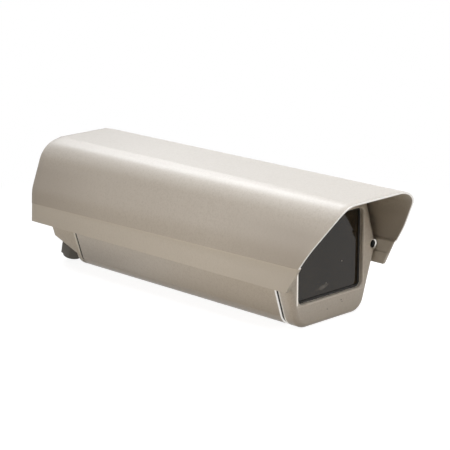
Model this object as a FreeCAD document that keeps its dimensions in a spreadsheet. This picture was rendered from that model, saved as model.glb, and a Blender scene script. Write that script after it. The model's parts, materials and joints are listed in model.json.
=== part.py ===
import FreeCAD, Part
import math
import os

import Sketcher

# Outdoor security camera housing. X is across, Y runs from the window (front, -Y) to the
# cable glands (rear, +Y) and Z is up. The origin is on the ground under the middle of the sunshield.

# Lengths in millimetres, angles in degrees, each written once.
SIZES = {
    # sunshield
    "shield_length": 418.0,
    "shield_lift": 11.5,
    "shield_sheet": 2.0,
    "shield_top_inset": 34.1,
    "crease_angle_front": 4.3,
    "crease_angle_rear": 13.4,
    "crease_flat_front": 2.5,
    "crease_flat_rear": 9.1,
    "shoulder_radius_front": 26.8,
    "shoulder_radius_rear": 25.7,
    "panel_angle_front": 68.1,
    "panel_angle_rear": 73.4,
    "panel_drop_front": 40.4,
    "panel_drop_rear": 52.1,
    "side_radius_front": 17.2,
    "side_radius_rear": 25.1,
    "side_angle_front": 78.4,
    "side_angle_rear": 85.5,
    "groove_drop_front": 58.6,
    "groove_drop_rear": 66.5,
    "groove_depth_front": 2.3,
    "groove_depth_rear": 0.3,
    "groove_return_front": 1.9,
    "groove_return_rear": 1.1,
    "groove_angle": 52.0,
    "groove_floor": 1.0,
    "groove_round_front": 1.4,
    "groove_round_rear": 0.5,
    "skirt_drop": 86.3,
    "skirt_gap": 4.7,
    "hem_fold": 1.4,
    "hem_fold_height": 12.3,
    "visor_slope": 0.661,
    "visor_start": 8.25,
    "visor_round": 29.4,
    "visor_groove_drop": 63.0,
    "visor_skirt_slope": 0.48,
    "visor_notch_drop": 72.0,
    "visor_notch": 1.9,
    "visor_notch_height": 3.5,
    "visor_corner": 2.0,
    "rear_lean_drop": 41.6,
    "rear_lean": 0.113,
    # tube and caps
    "front_overhang": 56.0,
    "rear_overhang": 17.0,
    "body_height": 118.3,
    "body_half_width": 65.6,
    "body_middle": 63.8,
    "wall_lean": 17.75,
    "bottom_radius": 17.0,
    "top_radius": 16.0,
    "side_radius": 5.0,
    "cap_side_radius": 9.0,
    "tube_wall": 2.8,
    "cap_wall": 3.2,
    "edge_radius": 5.5,
    "rear_edge_radius": 2.5,
    "edge_chamfer": 1.1,
    "front_cap_depth": 16.1,
    "rear_cap_depth": 36.8,
    "gasket_thickness": 2.6,
    "gasket_inset": 1.4,
    # window
    "window_side": 20.6,
    "window_top": 15.0,
    "window_bottom": 24.3,
    "window_radius": 6.0,
    "bezel_depth": 4.3,
    "bezel_round": 1.6,
    "glass_cover": 3.0,
    "glass_thickness": 3.0,
    "glass_radius": 7.0,
    "seal_front": 1.0,
    "seal_rear": 0.8,
    "seal_side": 1.4,
    "seal_lip": 5.0,
    "retainer_thickness": 1.6,
    "retainer_ear": 3.3,
    "retainer_ear_round": 3.0,
    "retainer_ear_root": 9.9,
    "retainer_screw_gap": 8.2,
    "retainer_screw_rise": 16.0,
    "retainer_boss": 6.0,
    "small_screw": 3.0,
    "small_head": 5.5,
    "small_head_height": 1.8,
    "small_screw_length": 6.0,
    # cap screws
    "cap_screw": 4.0,
    "cap_screw_head": 7.0,
    "cap_screw_head_height": 4.0,
    "cap_screw_length": 20.0,
    "cap_screw_socket": 3.0,
    "cap_screw_socket_depth": 2.0,
    "cap_screw_recess": 10.0,
    "recess_diameter": 7.5,
    "rear_seat_depth": 7.0,
    "hole_play": 0.2,
    # nut plate in the floor of the tube
    "nut_plate_half": 26.0,
    "nut_plate_length": 90.0,
    "nut_plate_thickness": 5.5,
    "nut_channel_side": 2.0,
    "nut_channel_lip": 3.0,
    "nut_channel_lip_thickness": 1.8,
    "base_hole": 5.0,
    "base_hole_play": 0.6,
    "base_hole_across": 40.0,
    "base_hole_along": 60.0,
    "tripod_hole": 6.35,
    # rear cap
    "rear_flange": 7.5,
    "rear_flange_round": 4.0,
    "rear_flange_rise": 15.3,
    "rear_slope": 25.8,
    "post_half": 25.0,
    "post_height": 47.8,
    "post_diameter": 10.0,
    "tray_seat": 5.5,
    # cable glands
    "gland_pitch": 36.5,
    "gland_tilt": 12.0,
    "gland_from_flange": 16.7,
    "gland_boss": 24.0,
    "gland_boss_depth": 10.0,
    "gland_thread": 16.0,
    "gland_flats": 22.0,
    "gland_collar": 5.0,
    "gland_outer_thread": 9.0,
    "gland_inner_thread": 16.0,
    "gland_through": 11.0,
    "gland_nut": 11.0,
    "gland_nut_end": 4.0,
    "gland_nut_mouth": 10.0,
    "gland_nut_end_wall": 1.2,
    "gland_nut_round": 2.5,
    "gland_nut_edge": 0.5,
    "gland_seal": 4.0,
    "gland_bore": 8.0,
    "lock_nut": 4.0,
    "lock_nut_flats": 20.0,
    # tray and what it carries
    "tray_height": 26.1,
    "tray_thickness": 3.0,
    "tray_side_gap": 1.0,
    "tray_front_gap": 14.0,
    "tray_flange_top": 56.8,
    "tray_flange_half": 38.0,
    "tray_corner": 6.0,
    "tray_slot_width": 7.0,
    "tray_slot_length": 130.0,
    "tray_slot_end_flat": 0.2,
    "tray_slot_middle": -15.0,
    "rail_reach": 6.0,
    "rail_thickness": 2.0,
    "running_gap": 0.3,
    "carriage_width": 44.0,
    "carriage_length": 56.0,
    "carriage_thickness": 4.0,
    "carriage_corner": 4.0,
    "carriage_tongue": 40.0,
    "camera_screw": 6.35,
    "camera_screw_head": 16.0,
    "camera_screw_head_height": 6.0,
    "camera_screw_reach": 5.5,
    "camera_screw_neck": 5.0,
    "camera_washer": 1.0,
    "tray_screw_head": 8.0,
    "tray_screw_head_height": 2.6,
    "tray_screw_length": 9.0,
    "earth_height": 47.8,
    "earth_screw_end": 1.0,
    "washer_thickness": 1.0,
    "washer_diameter": 10.0,
    "nut_flats": 7.0,
    "nut_height": 3.2,
    # sunshield rail and runners
    "rail_slot_half": 14.0,
    "rail_side": 3.0,
    "rail_rise": 5.2,
    "rail_lip": 5.0,
    "rail_lip_thickness": 1.8,
    "runner_plate_half": 18.0,
    "runner_plate": 2.5,
    "stop_screw_length": 7.0,
    "stop_screw_margin": 8.6,
    "stop_gap": 0.5,
    "shield_travel": 24.5,
    "runner_length": 50.0,
    "runner_neck_half": 8.0,
}

HALF_TURN = 180.0
UPRIGHT = 90.0
HEXAGON_HALF = 30.0


class Dim:
    """A length or an angle: its expression in terms of the sheet, and its value."""

    def __init__(self, text, number):
        self.text = text
        self.number = number

    def __add__(self, other):
        other = dim(other)
        return Dim(f"({self.text} + {other.text})", self.number + other.number)

    def __sub__(self, other):
        other = dim(other)
        return Dim(f"({self.text} - {other.text})", self.number - other.number)

    def __mul__(self, other):
        other = dim(other)
        return Dim(f"{self.text} * {other.text}", self.number * other.number)

    def __truediv__(self, other):
        other = dim(other)
        return Dim(f"{self.text} / ({other.text})", self.number / other.number)

    def __radd__(self, other):
        return dim(other) + self

    def __rsub__(self, other):
        return dim(other) - self

    def __rmul__(self, other):
        return dim(other) * self

    def __neg__(self):
        return Dim(f"(0 - {self.text})", -self.number)


def dim(value):
    """A plain number as a Dim; a Dim stays as it is."""
    return value if isinstance(value, Dim) else Dim(f"({value})", float(value))


def size(name):
    """A named size from the sheet."""
    return Dim(f"Sizes.{name}", SIZES[name])


def sin(angle):
    angle = dim(angle)
    return Dim(f"sin({angle.text})", math.sin(math.radians(angle.number)))


def cos(angle):
    angle = dim(angle)
    return Dim(f"cos({angle.text})", math.cos(math.radians(angle.number)))


def tan(angle):
    angle = dim(angle)
    return Dim(f"tan({angle.text})", math.tan(math.radians(angle.number)))


def make_sheet(doc):
    """Write every size into the sheet as a plain number with its name as alias."""
    sheet = doc.addObject("Spreadsheet::Sheet", "Sizes")
    for row, (name, number) in enumerate(SIZES.items(), start=1):
        sheet.set(f"A{row}", name)
        sheet.set(f"B{row}", str(number))
        sheet.setAlias(f"B{row}", name)
    doc.recompute()
    return sheet


DOC = FreeCAD.newDocument("CameraHousing")
make_sheet(DOC)
PIECES = []


def new_body(label, x=None, y=None, z=None, export=True):
    """Start a body; its place along each axis is bound to the sizes."""
    body = DOC.addObject("PartDesign::Body", label)
    body.Label = label
    for axis, place in (("x", x), ("y", y), ("z", z)):
        if place is not None:
            body.setExpression(f"Placement.Base.{axis}", place.text)
    if export:
        PIECES.append(body)
    return body


def origin_feature(body, role):
    """One of the body's own base planes or axes."""
    return next(item for item in body.Origin.OriginFeatures if item.Role == role)


def new_sketch(body, name, plane="XZ_Plane", offset=None):
    """A sketch on one of the body's base planes, moved along the axis that the plane faces."""
    sketch = body.newObject("Sketcher::SketchObject", name)
    sketch.AttachmentSupport = [(origin_feature(body, plane), "")]
    sketch.MapMode = "FlatFace"
    if offset is not None:
        along_normal = -dim(offset) if plane == "XZ_Plane" else dim(offset)
        sketch.setExpression("AttachmentOffset.Base.z", along_normal.text)
    return sketch


def bind(sketch, constraint, value):
    """Add a dimensional constraint and tie it to the sizes."""
    value = dim(value)
    index = sketch.addConstraint(constraint)
    name = f"size{index}"
    sketch.renameConstraint(index, name)
    sketch.setExpression(f"Constraints.{name}", value.text)


def place_point(sketch, geometry, point, x, y):
    """Hold a point of the sketch at x, y from the sketch's origin."""
    x, y = dim(x), dim(y)
    bind(sketch, Sketcher.Constraint("DistanceX", -1, 1, geometry, point, x.number), x)
    bind(sketch, Sketcher.Constraint("DistanceY", -1, 1, geometry, point, y.number), y)


def circle(sketch, x, y, radius):
    """A circle held by its centre and radius."""
    x, y, radius = dim(x), dim(y), dim(radius)
    centre = FreeCAD.Vector(x.number, y.number, 0)
    index = sketch.addGeometry(Part.Circle(centre, FreeCAD.Vector(0, 0, 1), radius.number), False)
    place_point(sketch, index, 3, x, y)
    bind(sketch, Sketcher.Constraint("Radius", index, radius.number), radius)


def outline(sketch, corners):
    """A closed outline of straight lines. A corner is (x, y) or, if rounded, (x, y, radius)."""
    spots = [FreeCAD.Vector(dim(c[0]).number, dim(c[1]).number, 0) for c in corners]
    count = len(corners)
    enter, leave, bends = [], [], []
    for i, corner in enumerate(corners):
        here = spots[i]
        if len(corner) == 2:
            enter.append(here)
            leave.append(here)
            bends.append(None)
            continue
        back = (spots[i - 1] - here).normalize()
        ahead = (spots[(i + 1) % count] - here).normalize()
        half = back.getAngle(ahead) / 2
        radius = dim(corner[2]).number
        run = radius / math.tan(half)
        enter.append(here + back * run)
        leave.append(here + ahead * run)
        centre = here + (back + ahead).normalize() * (radius / math.sin(half))
        left_turn = back.cross(ahead).z < 0
        bends.append((centre, radius, left_turn))
    lines = []
    for i in range(count):
        segment = Part.LineSegment(leave[i], enter[(i + 1) % count])
        lines.append(sketch.addGeometry(segment, False))
    for i, corner in enumerate(corners):
        if bends[i] is None:
            sketch.addConstraint(Sketcher.Constraint("Coincident", lines[i - 1], 2, lines[i], 1))
            place_point(sketch, lines[i], 1, corner[0], corner[1])
            continue
        centre, radius, left_turn = bends[i]
        first, last = (enter[i], leave[i]) if left_turn else (leave[i], enter[i])
        angles = [math.atan2(p.y - centre.y, p.x - centre.x) for p in (first, last)]
        round_edge = Part.ArcOfCircle(Part.Circle(centre, FreeCAD.Vector(0, 0, 1), radius), *angles)
        arc = sketch.addGeometry(round_edge, False)
        start, end = (1, 2) if left_turn else (2, 1)
        sketch.addConstraint(Sketcher.Constraint("Tangent", lines[i - 1], 2, arc, start))
        sketch.addConstraint(Sketcher.Constraint("Tangent", arc, end, lines[i], 1))
        bind(sketch, Sketcher.Constraint("Radius", arc, radius), corner[2])
        sharp = sketch.addGeometry(Part.Point(spots[i]), True)
        sketch.addConstraint(Sketcher.Constraint("PointOnObject", sharp, 1, lines[i - 1]))
        sketch.addConstraint(Sketcher.Constraint("PointOnObject", sharp, 1, lines[i]))
        place_point(sketch, sharp, 1, corner[0], corner[1])


def rectangle(sketch, x_low, y_low, x_high, y_high, radius=None):
    """An upright rectangle, with rounded corners if a radius is given."""
    corners = [(x_low, y_low), (x_high, y_low), (x_high, y_high), (x_low, y_high)]
    if radius is not None:
        corners = [(x, y, radius) for x, y in corners]
    outline(sketch, corners)


def pad(body, sketch, length, name, back=True):
    """Pad a sketch against its plane's normal (rearwards on an upright plane), or along it."""
    feature = body.newObject("PartDesign::Pad", name)
    feature.Profile = sketch
    feature.setExpression("Length", dim(length).text)
    feature.Reversed = back
    body.Tip = feature
    return feature


def pocket(body, sketch, length, name, back=True, both=False):
    """Cut a sketch into the body in the same directions as pad; with no length, right through."""
    feature = body.newObject("PartDesign::Pocket", name)
    feature.Profile = sketch
    if length is None:
        feature.Type = "ThroughAll"
    else:
        feature.setExpression("Length", dim(length).text)
    feature.Reversed = not back
    if both:
        feature.SideType = "Symmetric"
    body.Tip = feature
    DOC.recompute()
    before, after = feature.BaseFeature.Shape.Volume, feature.Shape.Volume
    if after > before - 1e-3:
        raise RuntimeError(f"{name} cuts nothing")
    return feature


def revolve(body, sketch, name, axis="V_Axis"):
    """Turn a sketch once round one of its axes."""
    feature = body.newObject("PartDesign::Revolution", name)
    feature.Profile = sketch
    feature.ReferenceAxis = (sketch, [axis])
    feature.Angle = 360
    body.Tip = feature
    return feature


def mirror(body, features, name, plane="YZ_Plane"):
    """Repeat features on the other side of a base plane."""
    feature = body.newObject("PartDesign::Mirrored", name)
    feature.Originals = features
    feature.MirrorPlane = (origin_feature(body, plane), [""])
    body.Tip = feature
    return feature


def edges_of(feature, wanted):
    """Names of the feature's edges that the test picks."""
    DOC.recompute()
    found = []
    for number, edge in enumerate(feature.Shape.Edges, start=1):
        if wanted(edge):
            found.append(f"Edge{number}")
    return found


def dress_edges(body, feature, kind, names, amount, name):
    """Fillet or chamfer the named edges by a bound amount."""
    dressed = body.newObject(f"PartDesign::{kind}", name)
    dressed.Base = (feature, names)
    dressed.setExpression("Radius" if kind == "Fillet" else "Size", dim(amount).text)
    body.Tip = dressed
    return dressed


def at_y(place):
    """A test for edges that lie wholly at one Y of the body's own frame."""
    def test(edge):
        box = edge.BoundBox
        return abs(box.YMin - place) < 0.01 and abs(box.YMax - place) < 0.01
    return test


# Places along the length, from the window to the glands.
SHIELD_FRONT = -size("shield_length") / 2
SHIELD_REAR = size("shield_length") / 2
FACE = SHIELD_FRONT + size("front_overhang")
TUBE_FRONT = FACE + size("front_cap_depth") + size("gasket_thickness")
REAR_FACE = SHIELD_REAR - size("rear_overhang")
REAR_CAP_FRONT = REAR_FACE - size("rear_cap_depth")
TUBE_REAR = REAR_CAP_FRONT - size("gasket_thickness")
TUBE_LENGTH = TUBE_REAR - TUBE_FRONT

# The stack behind the window, the tray and the gland face.
SEAL_DEPTH = size("seal_front") + size("glass_thickness") + size("seal_rear")
RETAINER_FRONT = FACE + size("bezel_depth") + SEAL_DEPTH
TRAY_FRONT = TUBE_FRONT + size("tray_front_gap")
TRAY_LENGTH = REAR_CAP_FRONT + size("tray_seat") - TRAY_FRONT
REAR_SLOPE = size("rear_slope")
GLAND_Y = REAR_CAP_FRONT + size("rear_flange") + size("gland_from_flange")
GLAND_Z = size("rear_flange_rise") + size("gland_from_flange") * tan(REAR_SLOPE)

# The sunshield's top, and its edges across.
SHIELD_TOP = size("body_height") + size("shield_lift")
CREASE_X = size("body_half_width") - size("shield_top_inset")
HEM_X = size("body_half_width") + size("skirt_gap")

# The window opening and the glass behind it.
WINDOW_HALF = size("body_half_width") - size("window_side")
WINDOW_LOW = size("window_bottom")
WINDOW_HIGH = size("body_height") - size("window_top")
WINDOW_WIDTH = WINDOW_HALF * 2
WINDOW_HEIGHT = WINDOW_HIGH - WINDOW_LOW
WINDOW_MIDDLE = (WINDOW_LOW + WINDOW_HIGH) / 2
GLASS_WIDTH = WINDOW_WIDTH + size("glass_cover") * 2
GLASS_HEIGHT = WINDOW_HEIGHT + size("glass_cover") * 2
RETAINER_SCREW_X = WINDOW_HALF + size("retainer_screw_gap")

# The nut plate under the middle of the tube, and the stops of the sliding sunshield.
BASE_MIDDLE = (TUBE_FRONT + TUBE_REAR) / 2
NUT_PLATE_LOW = size("tube_wall")
STOP_SCREW_Y = -TUBE_FRONT - size("stop_screw_margin")
STOP_TO_RUNNER = size("tray_screw_head") / 2 + size("stop_gap") + size("shield_travel")
RUNNER_MIDDLE = STOP_SCREW_Y - STOP_TO_RUNNER - size("runner_length") / 2

# The cap screws stand in the round widest corners of the section.
SCREW_X = size("body_half_width") - size("side_radius") / cos(size("wall_lean"))
SCREW_Z = size("body_middle")


def wall_x(height, inset=0.0):
    """Half width of the body at a height, with the walls moved inwards by an inset."""
    height = dim(height)
    away = size("body_middle") - height
    if height.number > SIZES["body_middle"]:
        away = -away
    lean = size("wall_lean")
    return size("body_half_width") - away * tan(lean) - dim(inset) / cos(lean)


def body_section(sketch, inset=0.0, side_round="side_radius"):
    """The six-sided section of the tube and the caps, or the same moved inwards."""
    inset = dim(inset)
    low, high = inset, size("body_height") - inset
    bottom = size("bottom_radius") - inset
    top = size("top_radius") - inset
    low_x, high_x = wall_x(low, inset), wall_x(high, inset)
    side_x = size("body_half_width") - inset / cos(size("wall_lean"))
    side = [size(side_round) - inset] if side_round else []
    outline(sketch, [
        (-low_x, low, bottom), (low_x, low, bottom), (side_x, size("body_middle"), *side),
        (high_x, high, top), (-high_x, high, top), (-side_x, size("body_middle"), *side),
    ])


def screw_circles(sketch, radius):
    """A circle round each of the two cap screw axes."""
    circle(sketch, SCREW_X, SCREW_Z, radius)
    circle(sketch, -SCREW_X, SCREW_Z, radius)


def hexagon(sketch, x, y, flats):
    """A hexagon of the given width across its flats, with two flats upright."""
    side = dim(flats) / 2
    corner = side / cos(HEXAGON_HALF)
    left = [(0, corner), (-side, corner / 2), (-side, -corner / 2)]
    right = [(-dim(dx), -dim(dy)) for dx, dy in left]
    outline(sketch, [(dim(x) + dx, dim(y) + dy) for dx, dy in left + right])


def turned(body, name, profile, x=0.0, plane="XY_Plane", offset=None):
    """A solid turned round an upright line of the sketch at x; the profile is (radius, height) corners."""
    sketch = new_sketch(body, name + "Profile", plane, offset)
    x = dim(x)
    outline(sketch, [(x + corner[0], *corner[1:]) for corner in profile])
    heights = sorted((dim(corner[1]) for corner in profile), key=lambda height: height.number)
    low, high = heights[0], heights[-1]
    ends = [FreeCAD.Vector(x.number, height.number, 0) for height in (low, high)]
    axis = sketch.addGeometry(Part.LineSegment(*ends), True)
    place_point(sketch, axis, 1, x, low)
    place_point(sketch, axis, 2, x, high)
    return revolve(body, sketch, name, axis="Axis0")


def screw_profile(head_radius, head_height, radius, length, start, towards=1):
    """Head and shank as (radius, place) corners; the head's bearing face is at start."""
    start, head_height, length = dim(start), dim(head_height) * towards, dim(length) * towards
    return [
        (0.0, start - head_height), (head_radius, start - head_height), (head_radius, start),
        (radius, start), (radius, start + length), (0.0, start + length),
    ]


def section_solid(body, name, depth, side_round="side_radius"):
    """Pad the outer section of the tube or of a cap."""
    sketch = new_sketch(body, name + "Section")
    body_section(sketch, 0.0, side_round)
    return pad(body, sketch, depth, name + "Solid")


def make_tube():
    """The extruded body: section, top rail, screw ports, nut channel, tray rails and floor holes."""
    body = new_body("body_tube", y=TUBE_FRONT)
    solid = section_solid(body, "Tube", TUBE_LENGTH)
    ends = edges_of(solid, at_y(0.0)) + edges_of(solid, at_y(TUBE_LENGTH.number))
    dress_edges(body, solid, "Chamfer", ends, size("edge_chamfer"), "TubeEndChamfer")

    sketch = new_sketch(body, "TopRailSection")
    top = size("body_height")
    inner = size("rail_slot_half")
    outer = inner + size("rail_side")
    lip = inner - size("rail_lip")
    rise = top + size("rail_rise")
    under = rise - size("rail_lip_thickness")
    root = top - size("tube_wall") / 2
    for side in (1, -1):
        corners = [(outer, root), (outer, rise), (lip, rise), (lip, under), (inner, under), (inner, root)]
        outline(sketch, [(x * side, z) for x, z in corners])
    pad(body, sketch, TUBE_LENGTH, "TopRail")

    sketch = new_sketch(body, "TubeCavity")
    body_section(sketch, size("tube_wall"), side_round=None)
    pocket(body, sketch, TUBE_LENGTH, "TubeHollow")

    sketch = new_sketch(body, "ScrewPortRound")
    screw_circles(sketch, size("side_radius"))
    pad(body, sketch, TUBE_LENGTH, "ScrewPorts")
    sketch = new_sketch(body, "ScrewPortBore")
    screw_circles(sketch, (size("cap_screw") + size("hole_play")) / 2)
    pocket(body, sketch, TUBE_LENGTH, "ScrewPortBores")

    sketch = new_sketch(body, "NutChannelSection")
    gap = size("running_gap")
    inner = size("nut_plate_half") + gap
    outer = inner + size("nut_channel_side")
    lip = inner - size("nut_channel_lip")
    under = NUT_PLATE_LOW + size("nut_plate_thickness") + gap
    high = under + size("nut_channel_lip_thickness")
    root = size("tube_wall") / 2
    for side in (1, -1):
        corners = [(outer, root), (outer, high), (lip, high), (lip, under), (inner, under), (inner, root)]
        outline(sketch, [(x * side, z) for x, z in corners])
    pad(body, sketch, TUBE_LENGTH, "NutChannel")

    sketch = new_sketch(body, "TrayRailSection")
    thick = size("rail_thickness")
    tip = wall_x(size("tray_height"), size("tube_wall")) - size("rail_reach")
    for low in (size("tray_height") - gap - thick, size("tray_height") + size("tray_thickness") + gap):
        high = low + thick
        for side in (1, -1):
            corners = [(tip, low), (wall_x(low, root), low), (wall_x(high, root), high), (tip, high)]
            outline(sketch, [(x * side, z) for x, z in corners])
    pad(body, sketch, TUBE_LENGTH, "TrayRails")

    sketch = new_sketch(body, "BaseHolePlaces", "XY_Plane")
    base_holes(sketch, BASE_MIDDLE - TUBE_FRONT, size("base_hole_play"))
    pocket(body, sketch, size("tube_wall"), "BaseHoles", back=False)

    sketch = new_sketch(body, "StopScrewPlaces", "XY_Plane", size("body_height"))
    for side in (-1, 1):
        radius = (size("cap_screw") + size("hole_play")) / 2
        circle(sketch, 0.0, STOP_SCREW_Y * side - TUBE_FRONT, radius)
    pocket(body, sketch, size("tube_wall"), "StopScrewHoles")


def base_holes(sketch, middle, play=0.0):
    """The four bracket holes and the tripod hole between them."""
    for across in (-1, 1):
        for along in (-1, 1):
            x, y = size("base_hole_across") / 2, size("base_hole_along") / 2
            circle(sketch, x * across, middle + y * along, (size("base_hole") + play) / 2)
    circle(sketch, 0.0, middle, (size("tripod_hole") + play) / 2)


def make_nut_plate():
    """The plate with the tapped holes, which slides in the channel of the tube's floor."""
    body = new_body("nut_plate", y=BASE_MIDDLE)
    half, reach = size("nut_plate_half"), size("nut_plate_length") / 2
    sketch = new_sketch(body, "NutPlateOutline", "XY_Plane", NUT_PLATE_LOW)
    rectangle(sketch, -half, -reach, half, reach)
    pad(body, sketch, size("nut_plate_thickness"), "NutPlate", back=False)
    sketch = new_sketch(body, "NutPlateHolePlaces", "XY_Plane", NUT_PLATE_LOW)
    base_holes(sketch, dim(0.0))
    pocket(body, sketch, size("nut_plate_thickness"), "NutPlateHoles", back=False)


def window_rectangle(sketch, width, height, radius):
    """A rounded rectangle centred on the window."""
    half, rise = dim(width) / 2, dim(height) / 2
    rectangle(sketch, -half, WINDOW_MIDDLE - rise, half, WINDOW_MIDDLE + rise, radius)


def retainer_screw_spots():
    """The four places of the retainer's screws beside the window."""
    rise = size("retainer_screw_rise")
    return [(RETAINER_SCREW_X * side, SCREW_Z + rise * way) for side in (-1, 1) for way in (-1, 1)]


def screw_bosses(body, name, depth, seat, recess_from, recess_back):
    """Round bosses in the widest corners of a cap, each with a recess for the head and a through hole."""
    sketch = new_sketch(body, name + "BossRound")
    screw_circles(sketch, size("side_radius"))
    pad(body, sketch, depth, name + "Bosses")
    sketch = new_sketch(body, name + "RecessRound", offset=recess_from)
    screw_circles(sketch, size("recess_diameter") / 2)
    pocket(body, sketch, seat, name + "Recesses", back=recess_back)
    sketch = new_sketch(body, name + "HoleRound")
    screw_circles(sketch, (size("cap_screw") + size("hole_play")) / 2)
    pocket(body, sketch, depth, name + "Holes")


def make_front_cap():
    """The cast front cap: a shallow dish with the window opening and two deep screw holes."""
    body = new_body("front_cap", y=FACE)
    depth = size("front_cap_depth")
    solid = section_solid(body, "FrontCap", depth, "cap_side_radius")
    front = edges_of(solid, at_y(0.0))
    rounded = dress_edges(body, solid, "Fillet", front, size("edge_radius"), "FrontCapEdge")
    back = edges_of(rounded, at_y(depth.number))
    dress_edges(body, rounded, "Chamfer", back, size("edge_chamfer"), "FrontCapSeam")
    bezel = size("bezel_depth")
    sketch = new_sketch(body, "FrontCapCavity", offset=bezel)
    body_section(sketch, size("cap_wall"), side_round=None)
    pocket(body, sketch, depth - bezel, "FrontCapHollow")
    screw_bosses(body, "FrontCap", depth, size("cap_screw_recess"), dim(0.0), True)
    sketch = new_sketch(body, "RetainerBossRound", offset=bezel)
    for x, z in retainer_screw_spots():
        circle(sketch, x, z, size("retainer_boss") / 2)
    pad(body, sketch, SEAL_DEPTH, "RetainerBosses")
    sketch = new_sketch(body, "RetainerBossBore", offset=bezel + SEAL_DEPTH)
    for x, z in retainer_screw_spots():
        circle(sketch, x, z, (size("small_screw") + size("hole_play")) / 2)
    pocket(body, sketch, SEAL_DEPTH, "RetainerBores", back=False)
    sketch = new_sketch(body, "WindowOpening")
    window_rectangle(sketch, WINDOW_WIDTH, WINDOW_HEIGHT, size("window_radius"))
    opening = pocket(body, sketch, bezel, "Window")
    front = edges_of(opening, lambda edge: at_y(0.0)(edge) and near_window(edge))
    dress_edges(body, opening, "Fillet", front, size("bezel_round"), "WindowEdge")


def near_window(edge):
    """True for the edges of the window opening."""
    box = edge.BoundBox
    return max(abs(box.XMin), abs(box.XMax)) < WINDOW_HALF.number + 0.1


def make_window():
    """The glass, the rubber channel round its edge, the plate that holds both, and its screws."""
    body = new_body("window_seal", y=FACE + size("bezel_depth"))
    side, lip = size("seal_side"), size("seal_lip")
    width, height, radius = GLASS_WIDTH, GLASS_HEIGHT, size("glass_radius")
    place = dim(0.0)
    layers = (
        (size("seal_front"), lip, radius - lip),
        (size("glass_thickness"), dim(0.0), radius),
        (size("seal_rear"), lip, radius - lip),
    )
    for number, (thick, grip, inner_radius) in enumerate(layers, start=1):
        sketch = new_sketch(body, f"SealLayerRing{number}", offset=place)
        window_rectangle(sketch, width + side * 2, height + side * 2, radius + side)
        window_rectangle(sketch, width - grip * 2, height - grip * 2, inner_radius)
        pad(body, sketch, thick, f"SealLayer{number}")
        place = place + thick

    body = new_body("window_glass", y=FACE + size("bezel_depth") + size("seal_front"))
    sketch = new_sketch(body, "GlassOutline")
    window_rectangle(sketch, width, height, radius)
    pad(body, sketch, size("glass_thickness"), "GlassPane")

    body = new_body("window_retainer", y=RETAINER_FRONT)
    thick = size("retainer_thickness")
    sketch = new_sketch(body, "RetainerOutline")
    window_rectangle(sketch, width + side * 2, height + side * 2, radius + side)
    pad(body, sketch, thick, "RetainerPlate")
    ear, root = size("retainer_ear"), size("retainer_ear_root")
    sketch = new_sketch(body, "RetainerEarOutline")
    for x, z in retainer_screw_spots():
        outward = 1 if x.number > 0 else -1
        ends = sorted((x + ear * outward, x - root * outward), key=lambda value: value.number)
        rectangle(sketch, ends[0], z - ear, ends[1], z + ear, size("retainer_ear_round"))
    pad(body, sketch, thick, "RetainerEars")
    sketch = new_sketch(body, "RetainerOpeningOutline")
    window_rectangle(sketch, width - lip * 2, height - lip * 2, radius - lip)
    pocket(body, sketch, thick, "RetainerOpening")
    sketch = new_sketch(body, "RetainerHolePlaces")
    for x, z in retainer_screw_spots():
        circle(sketch, x, z, (size("small_screw") + size("hole_play")) / 2)
    pocket(body, sketch, thick, "RetainerHoles")

    body = new_body("retainer_screws", y=RETAINER_FRONT + thick, z=size("body_middle"))
    turns = []
    for way in (-1, 1):
        profile = screw_profile(
            size("small_head") / 2, size("small_head_height"), size("small_screw") / 2,
            size("small_screw_length"), 0.0, towards=-1)
        rise = size("retainer_screw_rise") * way
        turns.append(turned(body, f"RetainerScrew{way + 2}", profile, RETAINER_SCREW_X, offset=rise))
    mirror(body, turns, "RetainerScrewPair")


def make_gasket(label, place):
    """A flat rubber ring between the tube and a cap, with an eye round each screw."""
    body = new_body(label, y=place)
    thick, inset = size("gasket_thickness"), size("gasket_inset")
    name = label.title().replace("_", "")
    sketch = new_sketch(body, name + "Outline")
    body_section(sketch, inset)
    pad(body, sketch, thick, name + "Sheet")
    sketch = new_sketch(body, name + "InnerOutline")
    body_section(sketch, size("cap_wall"), side_round=None)
    pocket(body, sketch, thick, name + "Opening")
    sketch = new_sketch(body, name + "EyeRound")
    screw_circles(sketch, size("side_radius") - inset)
    pad(body, sketch, thick, name + "Eyes")
    sketch = new_sketch(body, name + "HoleRound")
    screw_circles(sketch, (size("cap_screw") + size("hole_play")) / 2)
    pocket(body, sketch, thick, name + "Holes")


def make_cap_screws(label, seat, towards):
    """The two socket-head screws of one cap; towards is +1 when they point to the rear."""
    body = new_body(label, y=seat, z=SCREW_Z)
    name = label.title().replace("_", "")
    height = size("cap_screw_head_height")
    profile = screw_profile(
        size("cap_screw_head") / 2, height, size("cap_screw") / 2, size("cap_screw_length"), 0.0, towards)
    turn = turned(body, name + "Turned", profile, SCREW_X)
    sketch = new_sketch(body, name + "SocketOutline", offset=height * -towards)
    hexagon(sketch, SCREW_X, 0.0, size("cap_screw_socket"))
    socket = pocket(body, sketch, size("cap_screw_socket_depth"), name + "Socket", back=towards > 0)
    mirror(body, [turn, socket], name + "Pair")


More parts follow.
